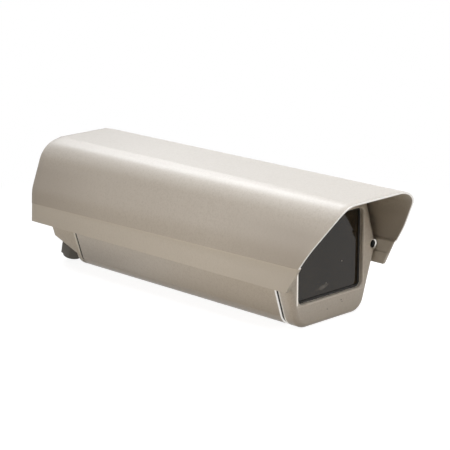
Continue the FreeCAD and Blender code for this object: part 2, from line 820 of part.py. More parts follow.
def rear_cap_form(body, name, inset):
    """The outside of the rear cap, or the same moved inwards: the section with its underside cut away."""
    outside = inset.number == 0
    depth = size("rear_cap_depth") - inset
    sketch = new_sketch(body, name + "Section")
    body_section(sketch, inset, "cap_side_radius" if outside else None)
    solid = pad(body, sketch, depth, name + "Solid")
    if outside:
        back = edges_of(solid, at_y(depth.number))
        solid = dress_edges(body, solid, "Fillet", back, size("rear_edge_radius"), name + "Edge")
        front = edges_of(solid, at_y(0.0))
        dress_edges(body, solid, "Chamfer", front, size("edge_chamfer"), name + "Seam")
    flange = size("rear_flange") - inset
    start = size("rear_flange_rise") + inset / cos(REAR_SLOPE) - inset * tan(REAR_SLOPE)
    beyond = size("rear_cap_depth") * 2
    end = start + (beyond - flange) * tan(REAR_SLOPE)
    below = -size("rear_flange_rise")
    sketch = new_sketch(body, name + "UndersideProfile", "YZ_Plane")
    outline(sketch, [(flange, below), (beyond, below), (beyond, end), (flange, start)])
    cut = pocket(body, sketch, None, name + "Underside", both=True)
    if outside:
        low = SIZES["rear_flange_rise"] / 2
        lower = edges_of(cut, lambda edge: at_y(flange.number)(edge) and edge.BoundBox.ZMin < low)
        dress_edges(body, cut, "Fillet", lower, size("rear_flange_round"), name + "FlangeEdge")


def gland_frame(body):
    """Put a body on the gland face: its Z points out of the housing along the gland's axis."""
    turn = FreeCAD.Rotation(FreeCAD.Vector(1, 0, 0), HALF_TURN + SIZES["gland_tilt"])
    body.Placement = FreeCAD.Placement(FreeCAD.Vector(0, 0, 0), turn)
    body.setExpression("Placement.Base.y", GLAND_Y.text)
    body.setExpression("Placement.Base.z", GLAND_Z.text)
    body.setExpression("Placement.Rotation.Angle", (HALF_TURN + size("gland_tilt")).text)


def gland_sketch(body, name, offset):
    """A sketch across the gland's axis inside the rear cap's own frame."""
    sketch = body.newObject("Sketcher::SketchObject", name)
    sketch.AttachmentSupport = [(origin_feature(body, "XY_Plane"), "")]
    sketch.MapMode = "FlatFace"
    turn = FreeCAD.Rotation(FreeCAD.Vector(1, 0, 0), HALF_TURN + SIZES["gland_tilt"])
    sketch.AttachmentOffset = FreeCAD.Placement(FreeCAD.Vector(0, 0, 0), turn)
    along_y = GLAND_Y - REAR_CAP_FRONT + offset * sin(size("gland_tilt"))
    sketch.setExpression("AttachmentOffset.Base.y", along_y.text)
    sketch.setExpression("AttachmentOffset.Base.z", (GLAND_Z - offset * cos(size("gland_tilt"))).text)
    sketch.setExpression("AttachmentOffset.Rotation.Angle", (HALF_TURN + size("gland_tilt")).text)
    return sketch


def three_circles(sketch, radius):
    """A circle at each gland's axis."""
    for place in (-1, 0, 1):
        circle(sketch, size("gland_pitch") * place, 0.0, radius)


def make_rear_cap():
    """The cast rear cap: a hollow form with a sloping underside, gland faces, posts and screw bosses."""
    core = new_body("rear_cap_core", export=False)
    rear_cap_form(core, "RearCore", size("cap_wall"))
    body = new_body("rear_cap", y=REAR_CAP_FRONT)
    rear_cap_form(body, "RearCap", dim(0.0))
    hollow = body.newObject("PartDesign::Boolean", "RearCapHollow")
    hollow.Type = "Cut"
    hollow.setObjects([core])
    body.Tip = hollow
    depth = size("rear_cap_depth")
    screw_bosses(body, "RearCap", depth, depth - size("rear_seat_depth"), depth, False)
    inner_wall = depth - size("cap_wall") / 2
    sketch = new_sketch(body, "PostRound", offset=size("tray_seat"))
    for side in (-1, 1):
        circle(sketch, size("post_half") * side, size("post_height"), size("post_diameter") / 2)
    pad(body, sketch, inner_wall - size("tray_seat"), "Posts")
    sketch = new_sketch(body, "PostBoreRound", offset=size("tray_seat"))
    bore = (size("cap_screw") + size("hole_play")) / 2
    for side in (-1, 1):
        circle(sketch, size("post_half") * side, size("post_height"), bore)
    pocket(body, sketch, size("tray_screw_length"), "PostBores")
    sketch = gland_sketch(body, "GlandBossRound", dim(0.0))
    three_circles(sketch, size("gland_boss") / 2)
    pad(body, sketch, size("gland_boss_depth"), "GlandBosses")
    sketch = gland_sketch(body, "GlandFaceRound", size("gland_boss_depth"))
    three_circles(sketch, size("gland_flats") / 2 / cos(HEXAGON_HALF) + size("running_gap"))
    pocket(body, sketch, size("gland_boss_depth"), "GlandFaces")
    sketch = gland_sketch(body, "GlandHoleRound", dim(0.0))
    three_circles(sketch, (size("gland_thread") + size("hole_play")) / 2)
    pocket(body, sketch, size("gland_boss_depth"), "GlandHoles")


def repeat_glands(body, features, sketch, name):
    """Repeat features along the row of three glands."""
    pattern = body.newObject("PartDesign::LinearPattern", name)
    pattern.Originals = features
    pattern.Direction = (sketch, ["H_Axis"])
    pattern.setExpression("Length", (size("gland_pitch") * 2).text)
    pattern.Occurrences = 3
    body.Tip = pattern


def gland_body(label):
    """A body on the gland face, its features made at the first gland of the row."""
    body = new_body(label)
    gland_frame(body)
    return body, -size("gland_pitch")


def ring(body, name, x, outer, bore, low, high):
    """A round ring between two places along the gland's axis."""
    sketch = new_sketch(body, name + "Round", "XY_Plane", low)
    circle(sketch, x, 0.0, dim(outer) / 2)
    circle(sketch, x, 0.0, dim(bore) / 2)
    return pad(body, sketch, dim(high) - dim(low), name, back=False), sketch


def hex_ring(body, name, x, flats, bore, low, high):
    """A hexagonal ring between two places along the gland's axis."""
    sketch = new_sketch(body, name + "Outline", "XY_Plane", low)
    hexagon(sketch, x, 0.0, flats)
    circle(sketch, x, 0.0, dim(bore) / 2)
    return pad(body, sketch, dim(high) - dim(low), name, back=False), sketch


def make_glands():
    """The cable glands: threaded bodies, cap nuts, sealing inserts and lock nuts, three of each."""
    thread, flats, play = size("gland_thread"), size("gland_flats"), size("hole_play") / 2
    collar, outer_reach = size("gland_collar"), size("gland_outer_thread")
    through = size("gland_through")
    body, x = gland_body("gland_bodies")
    middle, sketch = hex_ring(body, "GlandCollar", x, flats, through, 0.0, collar)
    outside, _ = ring(body, "GlandOuterThread", x, thread, through, collar, collar + outer_reach)
    inside, _ = ring(body, "GlandInnerThread", x, thread, through, -size("gland_inner_thread"), 0.0)
    repeat_glands(body, [middle, outside, inside], sketch, "GlandBodyRow")

    body, x = gland_body("gland_nuts")
    start = collar + size("running_gap")
    flat_end = start + size("gland_nut")
    end = flat_end + size("gland_nut_end")
    bore = thread + play * 2
    shell, sketch = hex_ring(body, "GlandNutFlats", x, flats, bore, start, flat_end)
    sketch = new_sketch(body, "GlandNutEndProfile", "XZ_Plane")
    outer, mouth = flats / 2 - size("gland_nut_edge"), size("gland_nut_mouth") / 2
    wall = size("gland_nut_end_wall")
    outline(sketch, [
        (x + bore / 2, flat_end), (x + outer, flat_end), (x + outer, end, size("gland_nut_round")),
        (x + mouth, end), (x + mouth, end - wall), (x + bore / 2, end - wall),
    ])
    axis_ends = (FreeCAD.Vector(x.number, 0, 0), FreeCAD.Vector(x.number, end.number, 0))
    axis = sketch.addGeometry(Part.LineSegment(*axis_ends), True)
    place_point(sketch, axis, 1, x, 0.0)
    place_point(sketch, axis, 2, x, end)
    dome = revolve(body, sketch, "GlandNutEnd", axis="Axis0")
    repeat_glands(body, [shell, dome], sketch, "GlandNutRow")

    body, x = gland_body("gland_seals")
    low = end - wall - size("gland_seal")
    insert, sketch = ring(body, "GlandSeal", x, thread - play * 2, size("gland_bore"), low, end - wall)
    repeat_glands(body, [insert], sketch, "GlandSealRow")

    body, x = gland_body("gland_lock_nuts")
    seat = -size("gland_boss_depth")
    nut, sketch = hex_ring(body, "LockNut", x, size("lock_nut_flats"), bore, seat - size("lock_nut"), seat)
    repeat_glands(body, [nut], sketch, "LockNutRow")


def make_tray():
    """The sheet tray that runs in the tube, bent up at the rear where it is screwed to the rear cap."""
    body = new_body("equipment_tray", y=TRAY_FRONT)
    low, thick = size("tray_height"), size("tray_thickness")
    half = wall_x(low, size("tube_wall")) - size("tray_side_gap")
    sketch = new_sketch(body, "TrayOutline", "XY_Plane", low)
    corner = size("tray_corner")
    outline(sketch, [(-half, 0.0, corner), (half, 0.0, corner), (half, TRAY_LENGTH), (-half, TRAY_LENGTH)])
    pad(body, sketch, thick, "TrayPlate", back=False)
    sketch = new_sketch(body, "TrayFlangeOutline", offset=TRAY_LENGTH - thick)
    flange, top = size("tray_flange_half"), size("tray_flange_top")
    outline(sketch, [(-flange, low), (flange, low), (flange, top, corner), (-flange, top, corner)])
    pad(body, sketch, thick, "TrayFlange")
    slot_half = size("tray_slot_width") / 2
    slot_middle = size("tray_slot_middle") - TRAY_FRONT
    reach = size("tray_slot_length") / 2
    sketch = new_sketch(body, "TraySlotOutline", "XY_Plane", low)
    slot_round = slot_half - size("tray_slot_end_flat") / 2
    rectangle(sketch, -slot_half, slot_middle - reach, slot_half, slot_middle + reach, slot_round)
    pocket(body, sketch, thick, "TraySlot", back=False)
    sketch = new_sketch(body, "TrayHolePlaces", offset=TRAY_LENGTH - thick)
    hole = (size("cap_screw") + size("hole_play")) / 2
    for side in (-1, 1):
        circle(sketch, size("post_half") * side, size("post_height"), hole)
    circle(sketch, 0.0, size("earth_height"), hole)
    pocket(body, sketch, thick, "TrayHoles")

    front = TRAY_FRONT + TRAY_LENGTH - thick
    head, head_height = size("tray_screw_head") / 2, size("tray_screw_head_height")
    shank = size("cap_screw") / 2
    body = new_body("tray_screws", y=front, z=size("post_height"))
    profile = screw_profile(head, head_height, shank, size("tray_screw_length"), 0.0)
    turn = turned(body, "TrayScrew", profile, size("post_half"))
    mirror(body, [turn], "TrayScrewPair")

    washer = size("washer_thickness")
    body = new_body("earth_washer", y=front - washer, z=size("earth_height"))
    sketch = new_sketch(body, "EarthWasherRound")
    circle(sketch, 0.0, 0.0, size("washer_diameter") / 2)
    circle(sketch, 0.0, 0.0, hole)
    pad(body, sketch, washer, "EarthWasher")
    body = new_body("earth_screw", y=front - washer, z=size("earth_height"))
    length = washer + thick + size("nut_height") + size("earth_screw_end")
    turned(body, "EarthScrew", screw_profile(head, head_height, shank, length, 0.0))
    body = new_body("earth_nut", y=front + thick, z=size("earth_height"))
    sketch = new_sketch(body, "EarthNutOutline")
    hexagon(sketch, 0.0, 0.0, size("nut_flats"))
    circle(sketch, 0.0, 0.0, hole)
    pad(body, sketch, size("nut_height"), "EarthNut")


def make_carriage():
    """The insulating camera plate on the tray, with its tongue in the slot, and the camera screw."""
    gap = size("running_gap")
    low = size("tray_height") + size("tray_thickness") + gap
    middle = size("tray_slot_middle")
    body = new_body("camera_plate", y=middle)
    half, reach = size("carriage_width") / 2, size("carriage_length") / 2
    sketch = new_sketch(body, "CameraPlateOutline", "XY_Plane", low)
    rectangle(sketch, -half, -reach, half, reach, size("carriage_corner"))
    pad(body, sketch, size("carriage_thickness"), "CameraPlate", back=False)
    tongue = size("tray_slot_width") / 2 - gap
    run = size("carriage_tongue") / 2
    sketch = new_sketch(body, "TongueOutline", "XY_Plane", size("tray_height") + gap)
    rectangle(sketch, -tongue, -run, tongue, run)
    pad(body, sketch, size("tray_thickness"), "Tongue", back=False)
    sketch = new_sketch(body, "CameraHoleRound", "XY_Plane", size("tray_height"))
    circle(sketch, 0.0, 0.0, size("camera_screw") / 2 + size("hole_play") / 2)
    through = size("tray_thickness") + gap + size("carriage_thickness")
    pocket(body, sketch, through, "CameraHole", back=False)

    washer = size("camera_washer")
    under = size("tray_height") - gap
    body = new_body("camera_washer", y=middle)
    sketch = new_sketch(body, "CameraWasherRound", "XY_Plane", under - washer)
    circle(sketch, 0.0, 0.0, size("camera_screw_head") / 2)
    circle(sketch, 0.0, 0.0, size("camera_screw") / 2 + size("hole_play") / 2)
    pad(body, sketch, washer, "CameraWasher", back=False)
    body = new_body("camera_screw", y=middle, z=under - washer)
    grip = low + size("carriage_thickness") - under + washer
    length = grip + size("camera_screw_reach")
    head, head_height = size("camera_screw_head") / 2, size("camera_screw_head_height")
    thread, neck = size("camera_screw") / 2, size("camera_screw_neck") / 2
    turned(body, "CameraScrew", [
        (0.0, -head_height), (head, -head_height), (head, 0.0), (neck, 0.0),
        (neck, grip), (thread, grip), (thread, length), (0.0, length),
    ], plane="XZ_Plane")


def inner_corner(x, z, before, after):
    """The inner corner of the sheet at a bend between two runs, their angles measured downwards."""
    middle = (dim(before) + dim(after)) / 2
    reach = size("shield_sheet") / cos((dim(after) - dim(before)) / 2)
    return x - reach * sin(middle), z - reach * cos(middle)


def shield_section(sketch, end):
    """Half of the sheet's section at the front or rear end: flat top, crease, round shoulder,
    leaning panel, rolled groove, and the skirt with its hem folded up inside."""
    def here(name):
        return size(f"{name}_{end}")

    sheet = size("shield_sheet")
    crease, panel, side = here("crease_angle"), here("panel_angle"), here("side_angle")
    run = here("shoulder_radius") * tan((panel - crease) / 2) + here("crease_flat")
    shoulder = (CREASE_X + run * cos(crease), SHIELD_TOP - run * sin(crease))
    bend_z = SHIELD_TOP - here("panel_drop")
    bend = (shoulder[0] + (shoulder[1] - bend_z) / tan(panel), bend_z)

    rolled = size("groove_angle")
    inwards = HALF_TURN - rolled
    groove_z = SHIELD_TOP - here("groove_drop")
    groove = (bend[0] + (bend_z - groove_z) / tan(side), groove_z)
    floor_high = (groove[0] - here("groove_depth"), groove_z - here("groove_depth") * tan(rolled))
    floor_low = (floor_high[0], floor_high[1] - size("groove_floor"))
    back = here("groove_return")
    skirt = (floor_low[0] + back, floor_low[1] - back * tan(rolled))

    hem = (HEM_X, SHIELD_TOP - size("skirt_drop"))
    fold, fold_z = size("hem_fold"), hem[1] + size("hem_fold_height")
    fold_x = hem[0] - sheet - (hem[0] - skirt[0]) * size("hem_fold_height") / (skirt[1] - hem[1])
    inside = [
        (hem[0] - sheet - fold, hem[1]),
        (fold_x - fold, fold_z),
        (fold_x, fold_z + fold),
        inner_corner(*skirt, rolled, UPRIGHT),
        inner_corner(*floor_low, UPRIGHT, rolled),
        inner_corner(*floor_high, inwards, UPRIGHT),
        inner_corner(*groove, side, inwards),
        (*inner_corner(*bend, panel, side), here("side_radius") - sheet),
        (*inner_corner(*shoulder, crease, panel), here("shoulder_radius") - sheet),
        inner_corner(CREASE_X, SHIELD_TOP, 0.0, crease),
    ]
    small = here("groove_round")
    outline(sketch, [
        (0.0, SHIELD_TOP - sheet), *reversed(inside), hem,
        (*skirt, small), (*floor_low, small), (*floor_high, small), (*groove, small),
        (*bend, here("side_radius")), (*shoulder, here("shoulder_radius")),
        (CREASE_X, SHIELD_TOP), (0.0, SHIELD_TOP),
    ])


def make_sunshield():
    """The sunshield: one sheet lofted between its rear and front sections, with the visor cut at the
    front and the top edge leaning forward at the rear."""
    body = new_body("sunshield")
    rear = new_sketch(body, "ShieldRearSection", offset=SHIELD_REAR)
    shield_section(rear, "rear")
    front = new_sketch(body, "ShieldFrontSection", offset=SHIELD_FRONT)
    shield_section(front, "front")
    loft = body.newObject("PartDesign::AdditiveLoft", "ShieldHalf")
    loft.Profile = rear
    loft.Sections = [front]
    loft.Ruled = True
    body.Tip = loft
    mirror(body, [loft], "ShieldSheet")

    start, corner = size("visor_start"), size("visor_corner")
    groove_drop, notch_drop = size("visor_groove_drop"), size("visor_notch_drop")
    notch_end = notch_drop + size("visor_notch_height")
    slope = size("visor_skirt_slope")
    groove_y = SHIELD_FRONT + size("visor_slope") * (groove_drop - start)
    notch_y = groove_y + slope * (notch_drop - groove_drop)
    after_y = notch_y + slope * size("visor_notch_height") + size("visor_notch")
    low_drop = size("skirt_drop") * 2
    low_y = after_y + slope * (low_drop - notch_end)
    high, before = SHIELD_TOP + size("shield_lift"), SHIELD_FRONT - size("front_overhang")
    sketch = new_sketch(body, "VisorProfile", "YZ_Plane")
    outline(sketch, [
        (before, high), (before, SHIELD_TOP - low_drop), (low_y, SHIELD_TOP - low_drop),
        (after_y, SHIELD_TOP - notch_end, corner), (notch_y, SHIELD_TOP - notch_drop, corner),
        (groove_y, SHIELD_TOP - groove_drop, corner),
        (SHIELD_FRONT, SHIELD_TOP - start, size("visor_round")), (SHIELD_FRONT, high),
    ])
    pocket(body, sketch, None, "VisorCut", both=True)

    lean_z, beyond = SHIELD_TOP - size("rear_lean_drop"), SHIELD_REAR + size("rear_overhang")
    forward = SHIELD_REAR - size("rear_lean") * (size("rear_lean_drop") + size("shield_lift"))
    sketch = new_sketch(body, "RearEndProfile", "YZ_Plane")
    outline(sketch, [(SHIELD_REAR, lean_z), (beyond, lean_z), (beyond, high), (forward, high)])
    pocket(body, sketch, None, "RearEndCut", both=True)


def make_runners():
    """The two runners under the sunshield, and the stop screws of the rail they slide in."""
    body = new_body("sunshield_runners", y=RUNNER_MIDDLE - size("runner_length") / 2)
    gap = size("running_gap")
    foot_half = size("rail_slot_half") - gap
    low = size("body_height") + gap
    foot_top = size("body_height") + size("rail_rise") - size("rail_lip_thickness") - gap
    neck = size("runner_neck_half")
    under = SHIELD_TOP - size("shield_sheet")
    plate, plate_low = size("runner_plate_half"), under - size("runner_plate")
    sketch = new_sketch(body, "RunnerSection")
    half = [
        (foot_half, low), (foot_half, foot_top), (neck, foot_top),
        (neck, plate_low), (plate, plate_low), (plate, under),
    ]
    outline(sketch, half + [(-x, z) for x, z in reversed(half)])
    runner = pad(body, sketch, size("runner_length"), "RearRunner")
    pattern = body.newObject("PartDesign::LinearPattern", "FrontRunner")
    pattern.Originals = [runner]
    pattern.Direction = (origin_feature(body, "Y_Axis"), [""])
    pattern.Reversed = True
    pattern.setExpression("Length", (RUNNER_MIDDLE * 2).text)
    pattern.Occurrences = 2
    body.Tip = pattern

    body = new_body("rail_stop_screws", z=size("body_height"))
    profile = screw_profile(
        size("tray_screw_head") / 2, size("tray_screw_head_height"), size("cap_screw") / 2,
        size("stop_screw_length"), 0.0, towards=-1)
    screw = turned(body, "StopScrew", profile, plane="XZ_Plane", offset=STOP_SCREW_Y)
    mirror(body, [screw], "StopScrewPair", "XZ_Plane")


def check_document():
    """Stop if any object of the document failed or any piece has a bad shape."""
    DOC.recompute()
    for item in DOC.Objects:
        if "Invalid" in item.State or "Error" in item.State:
            raise RuntimeError(f"{item.Label} failed: {item.getStatusString()}")
    for piece in PIECES:
        if piece.Shape.isNull() or not piece.Shape.isValid():
            raise RuntimeError(f"{piece.Label} has a bad shape")


def write_parts():
    """Write each piece to a file of its own."""
    os.makedirs("parts", exist_ok=True)
    for piece in PIECES:
        piece.Shape.exportStep(os.path.join("parts", piece.Label + ".step"))
        box = piece.Shape.BoundBox
        reach = ", ".join(
            f"{low:.1f} to {high:.1f}"
            for low, high in ((box.XMin, box.XMax), (box.YMin, box.YMax), (box.ZMin, box.ZMax)))
        volume = piece.Shape.Volume / 1000
        print(f"{piece.Label}: {len(piece.Shape.Solids)} solids, {volume:.2f} cm3, {reach}")


def main():
    make_tube()
    make_nut_plate()
    make_front_cap()
    make_gasket("front_gasket", FACE + size("front_cap_depth"))
    make_cap_screws("front_cap_screws", FACE + size("cap_screw_recess"), 1)
    make_window()
    make_sunshield()
    make_runners()
    make_rear_cap()
    make_gasket("rear_gasket", TUBE_REAR)
    make_cap_screws("rear_cap_screws", REAR_CAP_FRONT + size("rear_seat_depth"), -1)
    make_glands()
    make_tray()
    make_carriage()
    check_document()
    write_parts()


main()
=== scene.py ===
"""Looks of the security camera housing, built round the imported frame.

Sizes in the classes are in millimetres and every mesh is in metres.
"""

from __future__ import annotations

import json
import logging
import math
from dataclasses import dataclass, replace
from enum import Enum
from typing import Sequence

import bmesh
import bpy
import numpy as np
from mathutils import Matrix, Vector

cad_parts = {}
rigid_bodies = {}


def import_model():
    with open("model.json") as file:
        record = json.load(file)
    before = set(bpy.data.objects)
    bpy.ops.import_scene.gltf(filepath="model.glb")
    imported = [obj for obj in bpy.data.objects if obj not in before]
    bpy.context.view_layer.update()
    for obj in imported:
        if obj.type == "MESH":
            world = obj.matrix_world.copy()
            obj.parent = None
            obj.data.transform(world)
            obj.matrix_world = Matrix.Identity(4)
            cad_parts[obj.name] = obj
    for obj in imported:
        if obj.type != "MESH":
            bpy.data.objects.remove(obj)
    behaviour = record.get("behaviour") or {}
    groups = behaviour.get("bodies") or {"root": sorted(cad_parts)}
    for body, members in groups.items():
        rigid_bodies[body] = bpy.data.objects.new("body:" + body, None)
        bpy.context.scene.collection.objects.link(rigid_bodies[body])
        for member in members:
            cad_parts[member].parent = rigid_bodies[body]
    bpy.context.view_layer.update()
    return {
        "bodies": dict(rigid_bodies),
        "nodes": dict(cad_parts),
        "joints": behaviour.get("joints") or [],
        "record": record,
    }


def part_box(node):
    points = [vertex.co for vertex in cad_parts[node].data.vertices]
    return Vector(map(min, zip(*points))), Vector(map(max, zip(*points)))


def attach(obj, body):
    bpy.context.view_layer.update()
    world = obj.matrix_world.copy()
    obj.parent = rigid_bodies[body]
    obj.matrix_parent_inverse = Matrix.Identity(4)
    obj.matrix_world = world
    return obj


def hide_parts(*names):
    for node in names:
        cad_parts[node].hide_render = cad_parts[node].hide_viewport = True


LOG = logging.getLogger("camera_housing")
MM = 0.001
JOIN = 2e-6  # points closer than this, in metres, are one
FLAT = 0.3  # faces that differ by less than this, in degrees, are one
WHITE = (1.0, 1.0, 1.0)
Colour = tuple[float, float, float]
Point2 = tuple[float, float]
Point3 = tuple[float, float, float]


class Body(Enum):
    """The rigid bodies that the pieces ride on."""

    HOUSING = "housing"
    DRAWER = "drawer"
    CARRIAGE = "camera_carriage"
    SHIELD = "sunshield"


class Facing(Enum):
    """The way that a screw's head looks."""

    FRONT = (0.0, -1.0, 0.0)
    REAR = (0.0, 1.0, 0.0)
    UP = (0.0, 0.0, 1.0)
    DOWN = (0.0, 0.0, -1.0)


class Recess(Enum):
    """The drive in a screw's head."""

    HEX = "hex"
    CROSS = "cross"
    SLOT = "slot"


# ---------------------------------------------------------------- node trees


class Tree:
    """A node tree whose nodes are all made by one method."""

    def __init__(self, tree: bpy.types.NodeTree) -> None:
        """Start with an empty tree.

        Args:
            tree: The tree, which loses the nodes it has.
        """
        self.tree = tree
        self.tree.nodes.clear()

    def node(
        self,
        kind: str,
        settings: dict[str, object] | None = None,
        values: dict[object, object] | None = None,
    ) -> bpy.types.Node:
        """Add a node.

        Args:
            kind: The node's type.
            settings: Properties of the node, set before its sockets.
            values: Input name or number to a Signal, a socket or a constant.

        Returns:
            The new node.
        """
        node = self.tree.nodes.new(kind)
        for key, value in (settings or {}).items():
            setattr(node, key, value)
        for key, value in (values or {}).items():
            self.feed(node.inputs[key], value)
        return node

    def feed(self, socket: bpy.types.NodeSocket, value: object) -> None:
        """Link or set one input.

        Args:
            socket: The input.
            value: A Signal, a socket or a constant.
        """
        source = value.socket if isinstance(value, Signal) else value
        if isinstance(source, bpy.types.NodeSocket):
            self.tree.links.new(source, socket)
        else:
            socket.default_value = source


@dataclass(frozen=True)
class Signal:
    """One output of a shader tree that can be used in arithmetic."""

    graph: Tree
    socket: bpy.types.NodeSocket

    def _combine(self, operation: str, *terms: object) -> "Signal":
        """Add a Math node.

        Args:
            operation: The Math node's operation.
            terms: Signals or numbers.

        Returns:
            The node's output.
        """
        node = self.graph.node("ShaderNodeMath", {"operation": operation}, dict(enumerate(terms)))
        return Signal(self.graph, node.outputs[0])

    def __add__(self, other: object) -> "Signal":
        """Sum."""
        return self._combine("ADD", self, other)

    def __radd__(self, other: object) -> "Signal":
        """Sum with a number on the left."""
        return self._combine("ADD", other, self)

    def __sub__(self, other: object) -> "Signal":
        """Difference."""
        return self._combine("SUBTRACT", self, other)

    def __rsub__(self, other: object) -> "Signal":
        """Difference with a number on the left."""
        return self._combine("SUBTRACT", other, self)

    def __mul__(self, other: object) -> "Signal":
        """Product."""
        return self._combine("MULTIPLY", self, other)

    def __rmul__(self, other: object) -> "Signal":
        """Product with a number on the left."""
        return self._combine("MULTIPLY", other, self)

    def __truediv__(self, other: object) -> "Signal":
        """Quotient."""
        return self._combine("DIVIDE", self, other)

    def __rtruediv__(self, other: object) -> "Signal":
        """Quotient with a number on the left."""
        return self._combine("DIVIDE", other, self)

    def size(self) -> "Signal":
        """The value without its sign."""
        return self._combine("ABSOLUTE", self)

    def clamp(self) -> "Signal":
        """The value limited to between 0 and 1."""
        return self._combine("MINIMUM", self._combine("MAXIMUM", self, 0.0), 1.0)

    def within(self, low: float, high: float, sharp: float = 1.0) -> "Signal":
        """A mask between two values, with soft edges.

        Args:
            low: The lower value.
            high: The upper value.
            sharp: How fast the mask rises inside each of them.

        Returns:
            1 between the values, 0 outside them.
        """
        return ((self - low) * sharp).clamp() * ((high - self) * sharp).clamp()

    def near(self, place: float, reach: float, sharp: float = 2.0) -> "Signal":
        """A mask round one value, with soft edges.

        Args:
            place: The value.
            reach: How far the mask goes to both sides.
            sharp: How fast it rises.

        Returns:
            1 near the value, 0 beyond the reach.
        """
        return ((reach - (self - place).size()) * sharp).clamp()


class Graph(Tree):
    """A material's or the world's shader tree."""

    def __init__(self, name: str, world: bool = False) -> None:
        """Start an empty tree.

        Args:
            name: The name of the material or world.
            world: True for the world's tree.
        """
        self.owner = bpy.data.worlds.new(name) if world else bpy.data.materials.new(name)
        self.owner.use_nodes = True
        super().__init__(self.owner.node_tree)
        self.output = self.node("ShaderNodeOutputWorld" if world else "ShaderNodeOutputMaterial")

    def place(self) -> bpy.types.NodeSocket:
        """Object coordinates, the same for every piece because all stand at the origin."""
        return self.node("ShaderNodeTexCoord").outputs["Object"]

    def along(self) -> tuple[Signal, Signal, Signal]:
        """Object coordinates in millimetres.

        Returns:
            X, Y and Z.
        """
        parts = self.node("ShaderNodeSeparateXYZ", {}, {0: self.place()})
        x, y, z = (Signal(self, output) * (1.0 / MM) for output in parts.outputs)
        return x, y, z

    def noise(self, scale: float, detail: float, stretch: Point3 = (1.0, 1.0, 1.0)) -> Signal:
        """Noise over Object coordinates.

        Args:
            scale: Cells per metre.
            detail: Octaves.
            stretch: Factors along X, Y and Z.

        Returns:
            The noise, from 0 to 1.
        """
        mapping = self.node("ShaderNodeMapping", {}, {"Vector": self.place(), "Scale": stretch})
        values = {"Vector": mapping.outputs[0], "Scale": scale, "Detail": detail}
        return Signal(self, self.node("ShaderNodeTexNoise", {}, values).outputs[0])

    def mix(self, factor: object, first: object, second: object) -> bpy.types.NodeSocket:
        """Blend two colours.

        Args:
            factor: A Signal or a number.
            first: A colour or a socket.
            second: A colour or a socket.

        Returns:
            The blended colour.
        """
        colours = [c if isinstance(c, bpy.types.NodeSocket) else (*c, 1.0) for c in (first, second)]
        # The colour sockets of a Mix node stand behind those for numbers and vectors.
        values = {0: factor, 6: colours[0], 7: colours[1]}
        return self.node("ShaderNodeMix", {"data_type": "RGBA"}, values).outputs[2]

    def bump(self, height: Signal, strength: float, distance: float) -> bpy.types.NodeSocket:
        """A bump from a height.

        Args:
            height: The height, from 0 to 1.
            strength: The bump's strength.
            distance: The height in metres that 1 stands for.

        Returns:
            The normal.
        """
        values = {"Height": height, "Strength": strength, "Distance": distance}
        return self.node("ShaderNodeBump", {}, values).outputs[0]

    def surface(self, values: dict[object, object]) -> bpy.types.Material:
        """Close the tree with one Principled shader.

        Args:
            values: Its sockets.

        Returns:
            The material.
        """
        shader = self.node("ShaderNodeBsdfPrincipled", {}, values)
        self.feed(self.output.inputs["Surface"], shader.outputs[0])
        return self.owner

    def plain(self, kind: str, colour: Colour, strength: float | None = None) -> bpy.types.NodeSocket:
        """A shader of one colour.

        Args:
            kind: The shader node's type.
            colour: Its colour.
            strength: Its strength, where it has one.

        Returns:
            The shader.
        """
        values = {"Color": (*colour, 1.0)}
        if strength is not None:
            values["Strength"] = strength
        return self.node(kind, {}, values).outputs[0]

    def white_where_seen(
        self,
        lit: bpy.types.NodeSocket,
        white: bpy.types.NodeSocket,
        shown: bpy.types.NodeSocket | None = None,
    ) -> None:
        """Close the tree with white for gloss and glass, and a lit shader for diffuse rays.

        Args:
            lit: The shader for diffuse rays.
            white: The white shader.
            shown: The shader that the camera sees; the white one if not given.
        """
        path = self.node("ShaderNodeLightPath").outputs
        bounced = Signal(self, path["Is Glossy Ray"]) + Signal(self, path["Is Transmission Ray"])
        mixed = self.node("ShaderNodeMixShader", {}, {0: bounced.clamp(), 1: lit, 2: white})
        values = {0: path["Is Camera Ray"], 1: mixed.outputs[0], 2: shown or white}
        seen = self.node("ShaderNodeMixShader", {}, values)
        self.feed(self.output.inputs["Surface"], seen.outputs[0])


